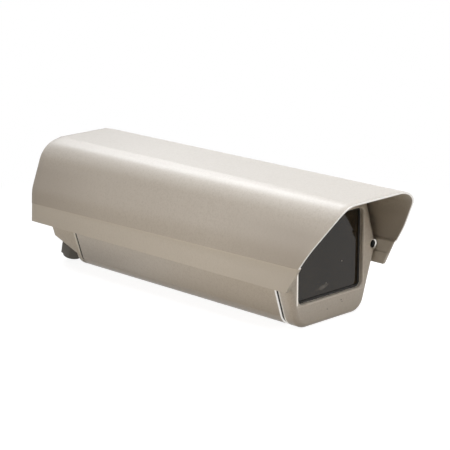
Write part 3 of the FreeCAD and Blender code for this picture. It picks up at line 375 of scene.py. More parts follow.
class Shape(Tree):
    """A Geometry Nodes tree with named inputs that makes one plain mesh."""

    def __init__(self, name: str, numbers: dict[str, float], material: bpy.types.Material) -> None:
        """Start the tree.

        Args:
            name: The tree's name.
            numbers: Named inputs with their values, in metres or counts.
            material: The material that the result gets.
        """
        super().__init__(bpy.data.node_groups.new(name, "GeometryNodeTree"))
        self.name, self.numbers, self.material = name, numbers, material
        face = self.tree.interface
        kinds = {key: "Int" if isinstance(value, int) else "Float" for key, value in numbers.items()}
        face.new_socket("Geometry", in_out="INPUT", socket_type="NodeSocketGeometry")
        self.sockets = {
            key: face.new_socket(key, in_out="INPUT", socket_type="NodeSocket" + kind)
            for key, kind in {**kinds, "Material": "Material"}.items()
        }
        face.new_socket("Geometry", in_out="OUTPUT", socket_type="NodeSocketGeometry")
        self.inputs = self.node("NodeGroupInput").outputs

    def finish(self, geometry: bpy.types.NodeSocket) -> bpy.types.Mesh:
        """Realize the geometry, give it its material and evaluate it.

        Args:
            geometry: The last geometry output.

        Returns:
            The evaluated mesh.
        """
        real = self.node("GeometryNodeRealizeInstances", {}, {"Geometry": geometry})
        values = {"Geometry": real.outputs[0], "Material": self.inputs["Material"]}
        painted = self.node("GeometryNodeSetMaterial", {}, values)
        self.node("NodeGroupOutput", {}, {0: painted.outputs[0]})
        carrier = bpy.data.objects.new(self.name, bpy.data.meshes.new(self.name))
        bpy.context.scene.collection.objects.link(carrier)
        modifier = carrier.modifiers.new(self.name, "NODES")
        modifier.node_group = self.tree
        for key, value in {**self.numbers, "Material": self.material}.items():
            modifier[self.sockets[key].identifier] = value
        bpy.context.view_layer.update()
        seen = carrier.evaluated_get(bpy.context.evaluated_depsgraph_get())
        mesh = bpy.data.meshes.new_from_object(seen)
        bpy.data.objects.remove(carrier)
        return mesh


def thread_mesh(
    radius: float, pitch: float, length: float, material: bpy.types.Material
) -> bpy.types.Mesh:
    """A screw thread that runs up a shank along a spiral.

    Args:
        radius: Radius of the crest in metres.
        pitch: Rise per turn in metres.
        length: Length of the thread in metres.
        material: Its material.

    Returns:
        The mesh, from height 0 upwards.
    """
    numbers = {"Radius": radius - pitch / 2, "Depth": pitch / 2, "Rise": length, "Turns": length / pitch}
    shape = Shape("thread", numbers, material)
    into = shape.inputs
    spiral = shape.node(
        "GeometryNodeCurveSpiral",
        {},
        {
            "Resolution": 24, "Rotations": into["Turns"], "Start Radius": into["Radius"],
            "End Radius": into["Radius"], "Height": into["Rise"],
        },
    )
    ridge = shape.node("GeometryNodeCurvePrimitiveCircle", {}, {"Resolution": 4, "Radius": into["Depth"]})
    run = shape.node(
        "GeometryNodeCurveToMesh",
        {},
        {"Curve": spiral.outputs[0], "Profile Curve": ridge.outputs[0], "Fill Caps": True},
    )
    return shape.finish(run.outputs[0])


def knurl_mesh(radius: float, rise: float, count: int, material: bpy.types.Material) -> bpy.types.Mesh:
    """Upright ridges round a screw's head.

    Args:
        radius: Radius of the head in metres.
        rise: Height of the ridges in metres.
        count: How many ridges.
        material: Their material.

    Returns:
        The mesh, centred at half the height.
    """
    numbers = {"Radius": radius, "Rise": rise, "Width": radius * 1.9 / count, "Count": count}
    shape = Shape("knurl", numbers, material)
    into = shape.inputs
    ring = shape.node("GeometryNodeMeshCircle", {}, {"Vertices": into["Count"], "Radius": into["Radius"]})
    ridge = shape.node(
        "GeometryNodeMeshCylinder", {}, {"Vertices": 8, "Radius": into["Width"], "Depth": into["Rise"]}
    )
    row = shape.node(
        "GeometryNodeInstanceOnPoints", {}, {"Points": ring.outputs[0], "Instance": ridge.outputs[0]}
    )
    return shape.finish(row.outputs[0])


# ---------------------------------------------------------------- finishes


def round_spot(x: Signal, z: Signal, spot: Point3, core: float) -> Signal:
    """A small round spot with a soft edge.

    Args:
        x: Place across, in millimetres.
        z: Height in millimetres.
        spot: Its middle (x, z) and its radius.
        core: Above 1; the more, the harder the spot.

    Returns:
        The spot's mask.
    """
    away = (x - spot[0]) * (x - spot[0]) + (z - spot[1]) * (z - spot[1])
    return (core - away / spot[2] ** 2).clamp()


@dataclass(frozen=True)
class Mottle:
    """One noise in a coat's colour; the weight is how much it darkens above its middle."""

    scale: float
    detail: float
    middle: float
    weight: float
    stretch: Point3 = (1.0, 1.0, 1.0)


@dataclass(frozen=True)
class PowderCoat:
    """Satin powder coat with faint clouds, fine specks and a soft orange peel."""

    name: str = "powder_coat"
    tone: Colour = (0.645, 0.60, 0.54)
    shade: Colour = (0.57, 0.52, 0.46)
    gloss: float = 0.34
    peel: float = 0.13
    peel_height: float = 0.0006
    specular: float = 0.38
    # pale: the colour of painted light, on the shield's skirt and on the front cap's highlights
    pale: Colour = (0.92, 0.88, 0.81)
    # painted shade: the coat is mixed towards this brown near the underside
    underside_shade: Colour = (0.40, 0.34, 0.26)
    underside_shade_height: float = 30.0
    underside_shade_share: float = 0.75
    mottles: tuple[Mottle, ...] = (
        Mottle(11.0, 3.0, 0.2, 0.9, (1.0, 0.45, 1.0)),
        Mottle(430.0, 2.0, 0.5, 1.9),
        Mottle(850.0, 1.0, 0.5, 1.7),
        Mottle(45.0, 4.0, 0.55, 0.3, (1.0, 1.0, 0.35)),
    )

    def marks_and_painted_light(self, graph: Graph, colour: bpy.types.NodeSocket) -> bpy.types.NodeSocket:
        """Change the colour where this coat is marked or has painted light: the plain one has painted
        shade, darker near its underside.

        Args:
            graph: The material's tree.
            colour: The coat's colour.

        Returns:
            The changed colour.
        """
        _, _, z = graph.along()
        # painted shade: darker towards the underside
        low = (1.0 - z / self.underside_shade_height).clamp()
        return graph.mix(low * low * self.underside_shade_share, colour, self.underside_shade)

    def metal_highlight(self, graph: Graph) -> Signal | float:
        """How far the coat turns to metal, which shows as a painted highlight.

        Args:
            graph: The material's tree; not used here.

        Returns:
            0 for a whole coat, up to 1 where metal stands in for a highlight.
        """
        return 0.0

    def material(self) -> bpy.types.Material:
        """Build the material.

        Returns:
            The material.
        """
        graph = Graph(self.name)
        noises = [graph.noise(mottle.scale, mottle.detail, mottle.stretch) for mottle in self.mottles]
        parts = [(noise - mottle.middle) * mottle.weight for noise, mottle in zip(noises, self.mottles)]
        colour = self.marks_and_painted_light(graph, graph.mix(sum(parts).clamp(), self.tone, self.shade))
        skin = graph.noise(420.0, 2.0) + graph.noise(1500.0, 1.0) * 0.3
        values = {
            "Base Color": colour,
            "Roughness": (graph.noise(160.0, 2.0) - 0.5) * 0.08 + (noises[0] - 0.5) * 0.05 + self.gloss,
            "Metallic": self.metal_highlight(graph),
            "Normal": graph.bump(skin, self.peel, self.peel_height),
            "Specular IOR Level": self.specular,
        }
        return graph.surface(values)


@dataclass(frozen=True)
class ShieldCoat(PowderCoat):
    """The sheet's coat: its skirt, below the step, has painted light, and its sides painted shade to the
    ends.

    Round `lit_middle` the sides keep their tone over `lit_half` each way. Above `side_top` only the
    rear end of the top, over `crown`, gets painted shade.
    """

    name: str = "shield_coat"
    tone: Colour = (0.585, 0.54, 0.485)
    shade: Colour = (0.515, 0.47, 0.415)
    # lift: how much painted light the skirt gets
    lift: float = 0.37
    step_height: float = 66.4
    step_fall: float = 0.0148
    shaded_tone: Colour = (0.46, 0.415, 0.365)
    shade_strength: float = 0.8
    lit_middle: float = 20.0
    lit_half: float = 80.0
    fade: float = 110.0
    side_top: float = 112.0
    side_fade: float = 12.0
    rear_from: float = 70.0
    rear_fade: float = 140.0
    rear_share: float = 0.6
    crown: float = 118.0
    crown_fade: float = 6.0

    def marks_and_painted_light(self, graph: Graph, colour: bpy.types.NodeSocket) -> bpy.types.NodeSocket:
        """Paint light on the skirt and shade on the sides towards the ends.

        Args:
            graph: The material's tree.
            colour: The coat's colour.

        Returns:
            The changed colour.
        """
        _, y, z = graph.along()
        # painted shade: the sides are darkened towards both ends
        ends = (((y - self.lit_middle).size() - self.lit_half) / self.fade).clamp()
        ends = ends * ((self.side_top - z) / self.side_fade).clamp()
        # painted shade: the rear end of the top is darkened
        rear = ((y - self.rear_from) / self.rear_fade).clamp()
        rear = rear * ((z - self.crown) / self.crown_fade).clamp() * self.rear_share
        dark = (ends + rear).clamp() * self.shade_strength
        # painted light: the skirt below the step is lightened towards pale
        below = (self.step_height - y * self.step_fall - z).clamp()
        return graph.mix(below * self.lift, graph.mix(dark, colour, self.shaded_tone), self.pale)


@dataclass(frozen=True)
class CapCoat(PowderCoat):
    """The front cap's coat: painted highlights at the sill, round the window and beside the gasket, with a
    few dark chips.

    Places are in millimetres: `face`, `sill`, `rim` and `strip_front` along the length, `half` and
    `strip` across, `bottom`, `top` and `strip_bottom` in height, and `line` is the window's far lower
    corner.
    """

    name: str = "cap_coat"
    face: float = -151.5
    sill: float = -149.4
    sill_sharp: float = 4.0
    rim: float = -139.5
    rim_width: float = 1.5
    rim_share: float = 0.8
    half: float = 48.5
    bottom: float = 20.5
    top: float = 107.0
    strip: Point2 = (-48.2, -46.2)
    strip_bottom: float = 24.0
    strip_front: float = -151.0
    line: Point2 = (46.5, 22.8)
    line_half: float = 0.6
    line_share: float = 0.7
    chip: Colour = (0.16, 0.14, 0.12)
    chip_core: float = 1.5
    chips: tuple[Point3, ...] = (
        (-55.6, 47.4, 0.7), (-5.4, 12.6, 0.6), (14.3, 17.7, 0.7), (-49.9, 15.7, 0.6), (15.6, 15.4, 0.5),
    )

    def marks_and_painted_light(self, graph: Graph, colour: bpy.types.NodeSocket) -> bpy.types.NodeSocket:
        """Paint highlights on the sill, round the window and beside the gasket, and chip the face.

        Args:
            graph: The material's tree.
            colour: The coat's colour.

        Returns:
            The changed colour.
        """
        colour = super().marks_and_painted_light(graph, colour)
        x, y, z = graph.along()
        on_face = (self.face - y).clamp()
        # painted highlight: the window opening behind the sill goes pale
        inside = x.near(0.0, self.half) * z.within(self.bottom, self.top, 2.0)
        inside = inside * ((y - self.sill) * self.sill_sharp).clamp()
        # painted highlight: a pale line along the window's lower and far edges
        side, foot = self.line
        line = (z.near(foot, self.line_half) + x.near(side, self.line_half)).clamp()
        line = line * (side + self.line_half - x).clamp() * (z - (foot - self.line_half)).clamp()
        line = line * (x + self.half).clamp() * on_face * self.line_share
        colour = graph.mix((inside + line + self.metal_highlight(graph)).clamp(), colour, self.pale)
        for chip in self.chips:
            colour = graph.mix(round_spot(x, z, chip, self.chip_core) * on_face, colour, self.chip)
        return colour

    def metal_highlight(self, graph: Graph) -> Signal:
        """Metal that shows as a painted highlight along the window's near side and beside the gasket.

        Args:
            graph: The material's tree.

        Returns:
            1 on the strip, a little less on the rim.
        """
        x, y, z = graph.along()
        # painted highlight: metal on the strip beside the window and on the rim by the gasket
        strip = x.within(*self.strip, 2.0) * z.within(self.strip_bottom, self.top)
        rim = y.within(self.rim, self.rim + self.rim_width, self.sill_sharp)
        return (strip * (self.strip_front - y).clamp() + rim * self.rim_share).clamp()


@dataclass(frozen=True)
class Moulded:
    """Moulded plastic or rubber with a fine grain."""

    name: str
    tone: Colour
    shade: Colour
    gloss: float

    def material(self) -> bpy.types.Material:
        """Build the material.

        Returns:
            The material.
        """
        graph = Graph(self.name)
        colour = graph.mix(graph.noise(60.0, 3.0), self.tone, self.shade)
        grain = graph.bump(graph.noise(900.0, 2.0), strength=0.12, distance=0.0004)
        roughness = (graph.noise(220.0, 2.0) - 0.5) * 0.15 + self.gloss
        return graph.surface({"Base Color": colour, "Roughness": roughness, "Normal": grain})


@dataclass(frozen=True)
class Metal:
    """Bare metal with a grain along its length."""

    name: str
    tone: Colour
    shade: Colour
    gloss: float = 0.32

    def material(self) -> bpy.types.Material:
        """Build the material.

        Returns:
            The material.
        """
        graph = Graph(self.name)
        grain = graph.noise(1400.0, 2.0, (1.0, 0.03, 1.0))
        cloud = graph.noise(25.0, 3.0)
        colour = graph.mix(grain * 0.6 + cloud * 0.4, self.tone, self.shade)
        roughness = (grain - 0.5) * 0.2 + (cloud - 0.5) * 0.1 + self.gloss
        brushed = graph.bump(grain, strength=0.08, distance=0.0002)
        values = {"Base Color": colour, "Metallic": 1.0, "Roughness": roughness, "Normal": brushed}
        return graph.surface(values)


@dataclass(frozen=True)
class WindowPane:
    """Flat glass, dark and nearly opaque as painted shade of the inside, with dust, a few specks, a painted
    slanted reflection and a wiped smear.

    Places are (x, z) in millimetres.
    """

    name: str = "window_pane"
    # painted shade: a dark, nearly opaque pane stands in for the shaded inside
    tone: Colour = (0.021, 0.014, 0.005)
    haze_and_reflection: Colour = (0.060, 0.045, 0.028)
    speck: Colour = (0.30, 0.28, 0.25)
    alpha: float = 0.9
    specular: float = 0.42
    polish: float = 0.03
    # a painted slanted reflection across the upper pane
    reflection_band: Point2 = (22.0, 93.8)
    reflection_slope: float = 1.4
    reflection_half: float = 5.0
    reflection_fade: float = 20.0
    smear: Point2 = (-6.4, 33.5)
    smear_half: Point2 = (10.0, 2.6)
    smear_slope: float = 0.12
    speck_core: float = 1.6
    specks: tuple[Point3, ...] = ((20.5, 53.8, 0.7), (-1.5, 36.5, 0.5))

    def material(self) -> bpy.types.Material:
        """Build the material.

        Returns:
            The material.
        """
        graph = Graph(self.name)
        x, _, z = graph.along()
        haze = graph.noise(28.0, 4.0, (1.0, 1.0, 0.6))
        off = (z - self.reflection_band[1] + (x - self.reflection_band[0]) * self.reflection_slope).size()
        reflection_band = (1.0 - off / self.reflection_half).clamp() * (x / self.reflection_fade).clamp()
        across = x - self.smear[0]
        over = (z - self.smear[1] - across * self.smear_slope) / self.smear_half[1]
        across = across / self.smear_half[0]
        smear = (1.0 - across * across - over * over).clamp() * (graph.noise(90.0, 3.0) - 0.25).clamp()
        # dust haze, and the painted reflection along the band, mix towards the lighter colour
        colour = graph.mix((haze - 0.4 + reflection_band * 0.30).clamp(), self.tone, self.haze_and_reflection)
        colour = graph.mix((smear * 1.3).clamp(), colour, self.speck)
        for speck in self.specks:
            colour = graph.mix(round_spot(x, z, speck, self.speck_core), colour, self.speck)
        values = {
            "Base Color": colour,
            "Roughness": haze * 0.05 + reflection_band * 0.05 + self.polish,
            "Alpha": self.alpha,
            "IOR": 1.5,
            "Specular IOR Level": self.specular,
        }
        return graph.surface(values)


# ---------------------------------------------------------------- meshes


def new_piece(name: str, vertices: Sequence[Point3], faces: Sequence[Sequence[int]]) -> bpy.types.Object:
    """Make an object from points in metres.

    Args:
        name: The piece's name.
        vertices: The points.
        faces: The corners of each face.

    Returns:
        The object, linked to the scene.
    """
    mesh = bpy.data.meshes.new(name)
    mesh.from_pydata([tuple(v) for v in vertices], [], [tuple(f) for f in faces])
    mesh.update()
    return linked(name, mesh)


def linked(name: str, data: bpy.types.ID) -> bpy.types.Object:
    """Put a mesh, a lamp or a camera in the scene.

    Args:
        name: The object's name.
        data: What it holds.

    Returns:
        The object, at the origin.
    """
    piece = bpy.data.objects.new(name, data)
    bpy.context.scene.collection.objects.link(piece)
    return piece


def into_mesh(work: bmesh.types.BMesh, name: str, *materials: bpy.types.Material) -> bpy.types.Mesh:
    """Turn a work mesh into a mesh. Its materials go in first, or the faces lose their numbers.

    Args:
        work: The work mesh, which is freed.
        name: The mesh's name.
        materials: Its materials.

    Returns:
        The mesh.
    """
    mesh = bpy.data.meshes.new(name)
    for material in materials:
        mesh.materials.append(material)
    work.to_mesh(mesh)
    work.free()
    return mesh


def bake_modifiers(piece: bpy.types.Object) -> None:
    """Turn the evaluated mesh into the piece's own and drop its modifiers.

    Args:
        piece: The piece.
    """
    bpy.context.view_layer.update()
    graph = bpy.context.evaluated_depsgraph_get()
    mesh = bpy.data.meshes.new_from_object(piece.evaluated_get(graph))
    piece.modifiers.clear()
    piece.data = mesh


def soften(piece: bpy.types.Object, width: float, angle: float = 35.0) -> None:
    """Round the sharp edges a little and shade the rest smoothly.

    Args:
        piece: The piece.
        width: The rounding in metres.
        angle: Edges sharper than this many degrees are rounded.
    """
    bevel = piece.modifiers.new("edge", "BEVEL")
    bevel.width = width
    bevel.segments = 2
    bevel.limit_method = "ANGLE"
    bevel.angle_limit = math.radians(angle)
    bake_modifiers(piece)
    shade(piece.data, angle)


def shade(mesh: bpy.types.Mesh, angle: float) -> None:
    """Shade smoothly up to an angle.

    Args:
        mesh: The mesh.
        angle: Edges sharper than this many degrees stay sharp.
    """
    mesh.shade_smooth()
    mesh.set_sharp_from_angle(angle=math.radians(angle))


def joined(mesh: bpy.types.Mesh) -> bmesh.types.BMesh:
    """Copy a node's mesh to work on, with its loose triangles joined.

    Args:
        mesh: The node's mesh.

    Returns:
        The copy.
    """
    work = bmesh.new()
    work.from_mesh(mesh)
    bmesh.ops.remove_doubles(work, verts=work.verts, dist=JOIN)
    return work


def merged_copy(frame: dict, node: str) -> bmesh.types.BMesh:
    """Copy a frame node's mesh with the triangles of each flat face merged.

    Args:
        node: The node.

    Returns:
        The copy, with the first material on every face.
    """
    work = joined(frame["nodes"][node].data)
    flat = {"angle_limit": math.radians(FLAT), "use_dissolve_boundaries": False}
    bmesh.ops.dissolve_limit(work, verts=work.verts, edges=work.edges, **flat)
    for face in work.faces:
        face.material_index = 0
    return work


def solids_of(mesh: bpy.types.Mesh) -> list[tuple[Vector, Vector]]:
    """The box of each separate solid of a node.

    Args:
        mesh: The node's mesh.

    Returns:
        Lowest and highest corners, in the mesh's units.
    """
    work = joined(mesh)
    waiting, found = set(work.verts), []
    while waiting:
        group, queue = [], [waiting.pop()]
        while queue:
            vertex = queue.pop()
            group.append(vertex.co.copy())
            for edge in vertex.link_edges:
                other = edge.other_vert(vertex)
                if other in waiting:
                    waiting.remove(other)
                    queue.append(other)
        found.append(box_of(group))
    work.free()
    return found


def box_of(points: Sequence[Vector]) -> tuple[Vector, Vector]:
    """Lowest and highest corners of some points.

    Args:
        points: The points.

    Returns:
        Both corners.
    """
    low = Vector([min(p[axis] for p in points) for axis in range(3)])
    high = Vector([max(p[axis] for p in points) for axis in range(3)])
    return low, high


def place_piece(piece: bpy.types.Object, body: Body, slot: str, *nodes: str) -> None:
    """Put a finished piece on its body.

    Args:
        piece: The piece.
        body: The body it rides on.
        slot: The record's material slot; not used.
        nodes: The frame nodes that it stands for.
    """
    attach(piece, body.value)
    if nodes:
        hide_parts(*nodes)
    LOG.info("%s rides on %s", piece.name, body.value)


# ---------------------------------------------------------------- profiles


@dataclass(frozen=True)
class RoundedPath:
    """An open path of corners (a, b, radius), walked with even steps round each corner."""

    corners: tuple[Point3, ...]
    steps: int = 8
    least: float = 0.05

    def points(self) -> list[Point2]:
        """Walk the path.

        Returns:
            Points, as many for each path with the same number of corners and steps.
        """
        found: list[Point2] = [self.corners[0][:2]]
        for index in range(1, len(self.corners) - 1):
            here = Vector(self.corners[index][:2])
            back = Vector(self.corners[index - 1][:2]) - here
            ahead = Vector(self.corners[index + 1][:2]) - here
            radius = max(self.corners[index][2], self.least)
            half = back.angle(ahead) / 2
            run = radius / math.tan(half)
            back.normalize()
            ahead.normalize()
            centre = here + (back + ahead).normalized() * (radius / math.sin(half))
            start, end = here + back * run - centre, here + ahead * run - centre
            sweep = start.angle(end)
            for step in range(self.steps + 1):
                share = step / self.steps
                low, high = math.sin((1 - share) * sweep), math.sin(share * sweep)
                found.append(tuple(centre + (start * low + end * high) / math.sin(sweep)))
        found.append(self.corners[-1][:2])
        return found


# ---------------------------------------------------------------- sunshield


@dataclass(frozen=True)
class ShieldEnd:
    """The sheet's section at one end; angles are degrees below level, drops are below the top."""

    crease: float
    crease_flat: float
    shoulder: float
    panel: float
    panel_drop: float
    side: float
    side_bend: float
    step_drop: float
    step_depth: float
    step_round: float


@dataclass
class Sunshield:
    """The formed sheet: flat top, round shoulders, stepped skirt, folded hem and slanted visor."""

    paint: bpy.types.Material
    cut_edge_highlight: bpy.types.Material
    length: float = 418.0
    height: float = 129.8
    sheet: float = 2.0
    top_half: float = 31.5
    crease_radius: float = 3.0
    crease_inside: float = 2.0
    step_slope: float = 18.0
    step_edge: float = 0.8
    step_inside: float = 0.1
    skirt_drop: float = 86.3
    skirt_half: float = 70.3
    skirt_inside: float = 3.0
    fold: float = 1.4
    fold_height: float = 12.3
    fold_seat: float = 0.1
    fold_tip: tuple[Point2, ...] = ((0.1, -0.3), (-0.5, -0.6), (-1.4, 0.2))
    ends: tuple[ShieldEnd, ShieldEnd] = (
        ShieldEnd(
            crease=4.3, crease_flat=2.5, shoulder=26.8, panel=68.1, panel_drop=43.0, side=81.5,
            side_bend=60.0, step_drop=60.3, step_depth=3.0, step_round=0.6,
        ),
        ShieldEnd(
            crease=13.4, crease_flat=9.1, shoulder=25.7, panel=73.4, panel_drop=53.0, side=87.0,
            side_bend=40.0, step_drop=66.5, step_depth=0.3, step_round=0.1,
        ),
    )
    visor: tuple[Point3, ...] = (
        (-209.0, -5.0, 0.0), (-209.0, 8.25, 29.4), (-172.81, 63.0, 2.0), (-168.49, 72.0, 2.0),
        (-164.91, 75.5, 2.0), (-155.0, 96.0, 0.0),
    )
    rear_lean: float = 0.113
    rear_lean_drop: float = 41.6
    rows: int = 48
    settling: int = 8
    rim: float = 0.3
    rim_angle: float = 55.0
    # cut edges above this height, on the front half, get the painted highlight
    edge_highlight_above: float = 69.0

    def inner(self, corner: Point2, before: float, after: float) -> Point2:
        """The inside of the sheet at a bend.

        Args:
            corner: The outer corner (x, drop).
            before: Angle of the run before it, in degrees downwards.
            after: Angle of the run after it.

        Returns:
            The inner corner (x, drop).
        """
        middle = math.radians((before + after) / 2)
        reach = self.sheet / math.cos(math.radians(after - before) / 2)
        return corner[0] - reach * math.sin(middle), corner[1] + reach * math.cos(middle)

    def profile(self, end: ShieldEnd) -> tuple[list[Point2], list[Point2], list[Point2]]:
        """Half of the sheet's section at one end.

        Args:
            end: The end.

        Returns:
            Outer points, inner points and the loop of the folded hem, as (x, drop).
        """
        crease, panel, side = (math.radians(a) for a in (end.crease, end.panel, end.side))
        sheet = self.sheet
        run = end.shoulder * math.tan((panel - crease) / 2) + end.crease_flat
        top = (self.top_half, 0.0)
        shoulder = (self.top_half + run * math.cos(crease), run * math.sin(crease))
        bend = (shoulder[0] + (end.panel_drop - shoulder[1]) / math.tan(panel), end.panel_drop)
        step = (bend[0] + (end.step_drop - bend[1]) / math.tan(side), end.step_drop)
        rise = end.step_depth * math.tan(math.radians(self.step_slope))
        skirt = (step[0] - end.step_depth, step[1] + rise)
        hem = (self.skirt_half, self.skirt_drop)
        hem_inside = (hem[0] - sheet, hem[1])
        lean = math.degrees(math.atan2(hem[1] - skirt[1], hem[0] - skirt[0]))
        outer = (
            (top, self.crease_radius), (shoulder, end.shoulder), (bend, end.side_bend),
            (step, min(self.step_edge, end.step_depth)), (skirt, end.step_round),
        )
        into = 180.0 - self.step_slope
        inner = (
            (self.inner(top, 0.0, end.crease), self.crease_inside),
            (self.inner(shoulder, end.crease, end.panel), end.shoulder - sheet),
            (self.inner(bend, end.panel, end.side), end.side_bend - sheet),
            (self.inner(step, end.side, into), self.step_inside),
            (self.inner(skirt, into, lean), end.step_round * self.skirt_inside),
        )
        fold_top = hem[1] - self.fold_height
        fold_x = hem_inside[0] - (hem[0] - skirt[0]) * self.fold_height / (hem[1] - skirt[1])
        fold = [
            (hem_inside[0] + self.fold_seat, hem[1]),
            *((fold_x + x, fold_top + drop) for x, drop in self.fold_tip),
            (hem_inside[0] - self.fold, hem[1]),
        ]
        skins = []
        for corners, start, finish in ((outer, 0.0, hem), (inner, sheet, hem_inside)):
            path = ((0.0, start, 0.0), *((*spot, radius) for spot, radius in corners), (*finish, 0.0))
            skins.append(RoundedPath(path).points())
        return skins[0], skins[1], fold

    def cut(self, drop: float) -> float:
        """Where the visor's edge lies along the length.

        Args:
            drop: Depth below the top.

        Returns:
            Y in millimetres.
        """
        walk = RoundedPath(self.visor, steps=10).points()
        return float(np.interp(drop, [p[1] for p in walk], [p[0] for p in walk]))

    def run_of(self, front: Point2, rear: Point2, side: int = 1) -> list[Point3]:
        """One line along the sheet, from the visor's edge to the rear.

        Args:
            front: (x, drop) at the front end.
            rear: (x, drop) at the rear end.
            side: 1 for the right half, -1 for the left.

        Returns:
            Points in metres.
        """
        half = self.length / 2

        def at(y: float) -> Point2:
            """The line's (x, drop) at a place along the length."""
            share = (y + half) / self.length
            return front[0] + (rear[0] - front[0]) * share, front[1] + (rear[1] - front[1]) * share

        start, finish = -half, half
        for _ in range(self.settling):
            start = self.cut(at(start)[1])
            finish = half - self.rear_lean * max(0.0, self.rear_lean_drop - at(finish)[1])
        line = []
        for row in range(self.rows + 1):
            y = start + (finish - start) * row / self.rows
            x, drop = at(y)
            line.append((x * side * MM, y * MM, (self.height - drop) * MM))
        return line

    def sheet_faces(self, lines: int, row_count: int) -> tuple[list[list[int]], list[int]]:
        """The faces of the sheet between its two skins.

        Args:
            lines: Lines along each skin.
            row_count: Points on each line.

        Returns:
            The faces, and the numbers of those on the cut edges.
        """

        def face(*corners: Sequence[int]) -> list[int]:
            """A face from the skin, line and row of each corner."""
            return [(skin * lines + line) * row_count + row for skin, line, row in corners]

        faces, edges = [], []
        end, last = row_count - 1, lines - 1
        for line in range(last):
            after = line + 1
            for row in range(end):
                a, b, c, d = (line, row), (line, row + 1), (after, row + 1), (after, row)
                faces.append(face((0, *a), (0, *d), (0, *c), (0, *b)))
                faces.append(face((1, *a), (1, *b), (1, *c), (1, *d)))
            for row in (0, end):
                edges.append(len(faces))
                faces.append(face((0, line, row), (1, line, row), (1, after, row), (0, after, row)))
        for row in range(end):
            for line in (0, last):
                edges.append(len(faces))
                faces.append(face((0, line, row), (0, line, row + 1), (1, line, row + 1), (1, line, row)))
        return faces, edges

    def build(self) -> bpy.types.Object:
        """Make the sheet with its folded hems.

        Returns:
            The piece.
        """
        (outer, inner, fold), (outer_rear, inner_rear, fold_rear) = map(self.profile, self.ends)
        skins = []
        for fronts, rears in ((outer, outer_rear), (inner, inner_rear)):
            right = [self.run_of(f, r) for f, r in zip(fronts, rears)]
            left = [self.run_of(f, r, -1) for f, r in zip(fronts, rears)]
            skins.append(left[:0:-1] + right)
        lines, row_count = len(skins[0]), self.rows + 1
        vertices = [point for skin in skins for line in skin for point in line]
        faces, edges = self.sheet_faces(lines, row_count)
        for side in (-1, 1):
            base, count = len(vertices), len(fold)
            for front, rear in zip(fold, fold_rear):
                vertices.extend(self.run_of(front, rear, side))
            for line in range(count):
                after = (line + 1) % count
                for row in range(self.rows):
                    corners = ((line, row), (line, row + 1), (after, row + 1), (after, row))
                    faces.append([base + a * row_count + b for a, b in corners])
            for row in (0, self.rows):
                edges.append(len(faces))
                faces.append([base + line * row_count + row for line in range(count)])
        piece = new_piece("sunshield_sheet", vertices, faces)
        for material in (self.paint, self.cut_edge_highlight):
            piece.data.materials.append(material)
        # painted highlight: cut edges high on the front half get bright metal, the rest keep the paint
        for index in edges:
            face = piece.data.polygons[index]
            face.material_index = int(face.center.z > self.edge_highlight_above * MM and face.center.y < 0.0)
        mesh = bmesh.new()
        mesh.from_mesh(piece.data)
        bmesh.ops.recalc_face_normals(mesh, faces=mesh.faces)
        mesh.to_mesh(piece.data)
        mesh.free()
        soften(piece, self.rim * MM, self.rim_angle)
        return piece

    def dress(self) -> None:
        """Build the sheet and put it in place."""
        place_piece(self.build(), Body.SHIELD, "paint", "sunshield")


# ---------------------------------------------------------------- castings and tube


@dataclass(frozen=True)
class RimZone:
    """A box round an edge: the faces in it that lean along the length get the edge's finish, a painted
    highlight.
    """

    low: Point3
    high: Point3
    lean: Point2
    finish: int = 1

    def holds(self, middle: Vector, normal: Vector) -> bool:
        """Tell whether a face belongs to the edge.

        Args:
            middle: The face's middle in metres.
            normal: Its normal.

        Returns:
            True for a face of the edge.
        """
        inside = all(low <= value / MM <= high for low, value, high in zip(self.low, middle, self.high))
        return inside and self.lean[0] < abs(normal.y) < self.lean[1]


@dataclass(frozen=True)
class HoleMouth:
    """The sharp mouth of a round hole along the length, which gets a chamfer."""

    x: float
    z: float
    radius: float
    reach: Point2
    width: float
    slack: float = 0.12
    sharp: float = 30.0

    def off_axis(self, point: Vector) -> float:
        """Distance of a point in metres from the hole's axis, in millimetres."""
        return math.hypot(point.x / MM - self.x, point.z / MM - self.z)

    def holds(self, edge: bmesh.types.BMEdge) -> bool:
        """Tell whether an edge is part of the mouth.

        Args:
            edge: An edge of the merged mesh.

        Returns:
            True for an edge of the mouth.
        """
        for point in (vertex.co for vertex in edge.verts):
            if abs(self.off_axis(point) - self.radius) > self.slack:
                return False
            if not self.reach[0] <= point.y / MM <= self.reach[1]:
                return False
        return len(edge.link_faces) == 2 and edge.calc_face_angle() > math.radians(self.sharp)

    def encloses(self, middle: Vector) -> bool:
        """Tell whether a face lies inside the hole.

        Args:
            middle: The face's middle in metres.

        Returns:
            True for the hole's wall and floor.
        """
        inside = self.off_axis(middle) < self.radius + self.slack
        return inside and middle.y / MM > self.reach[0] + self.width


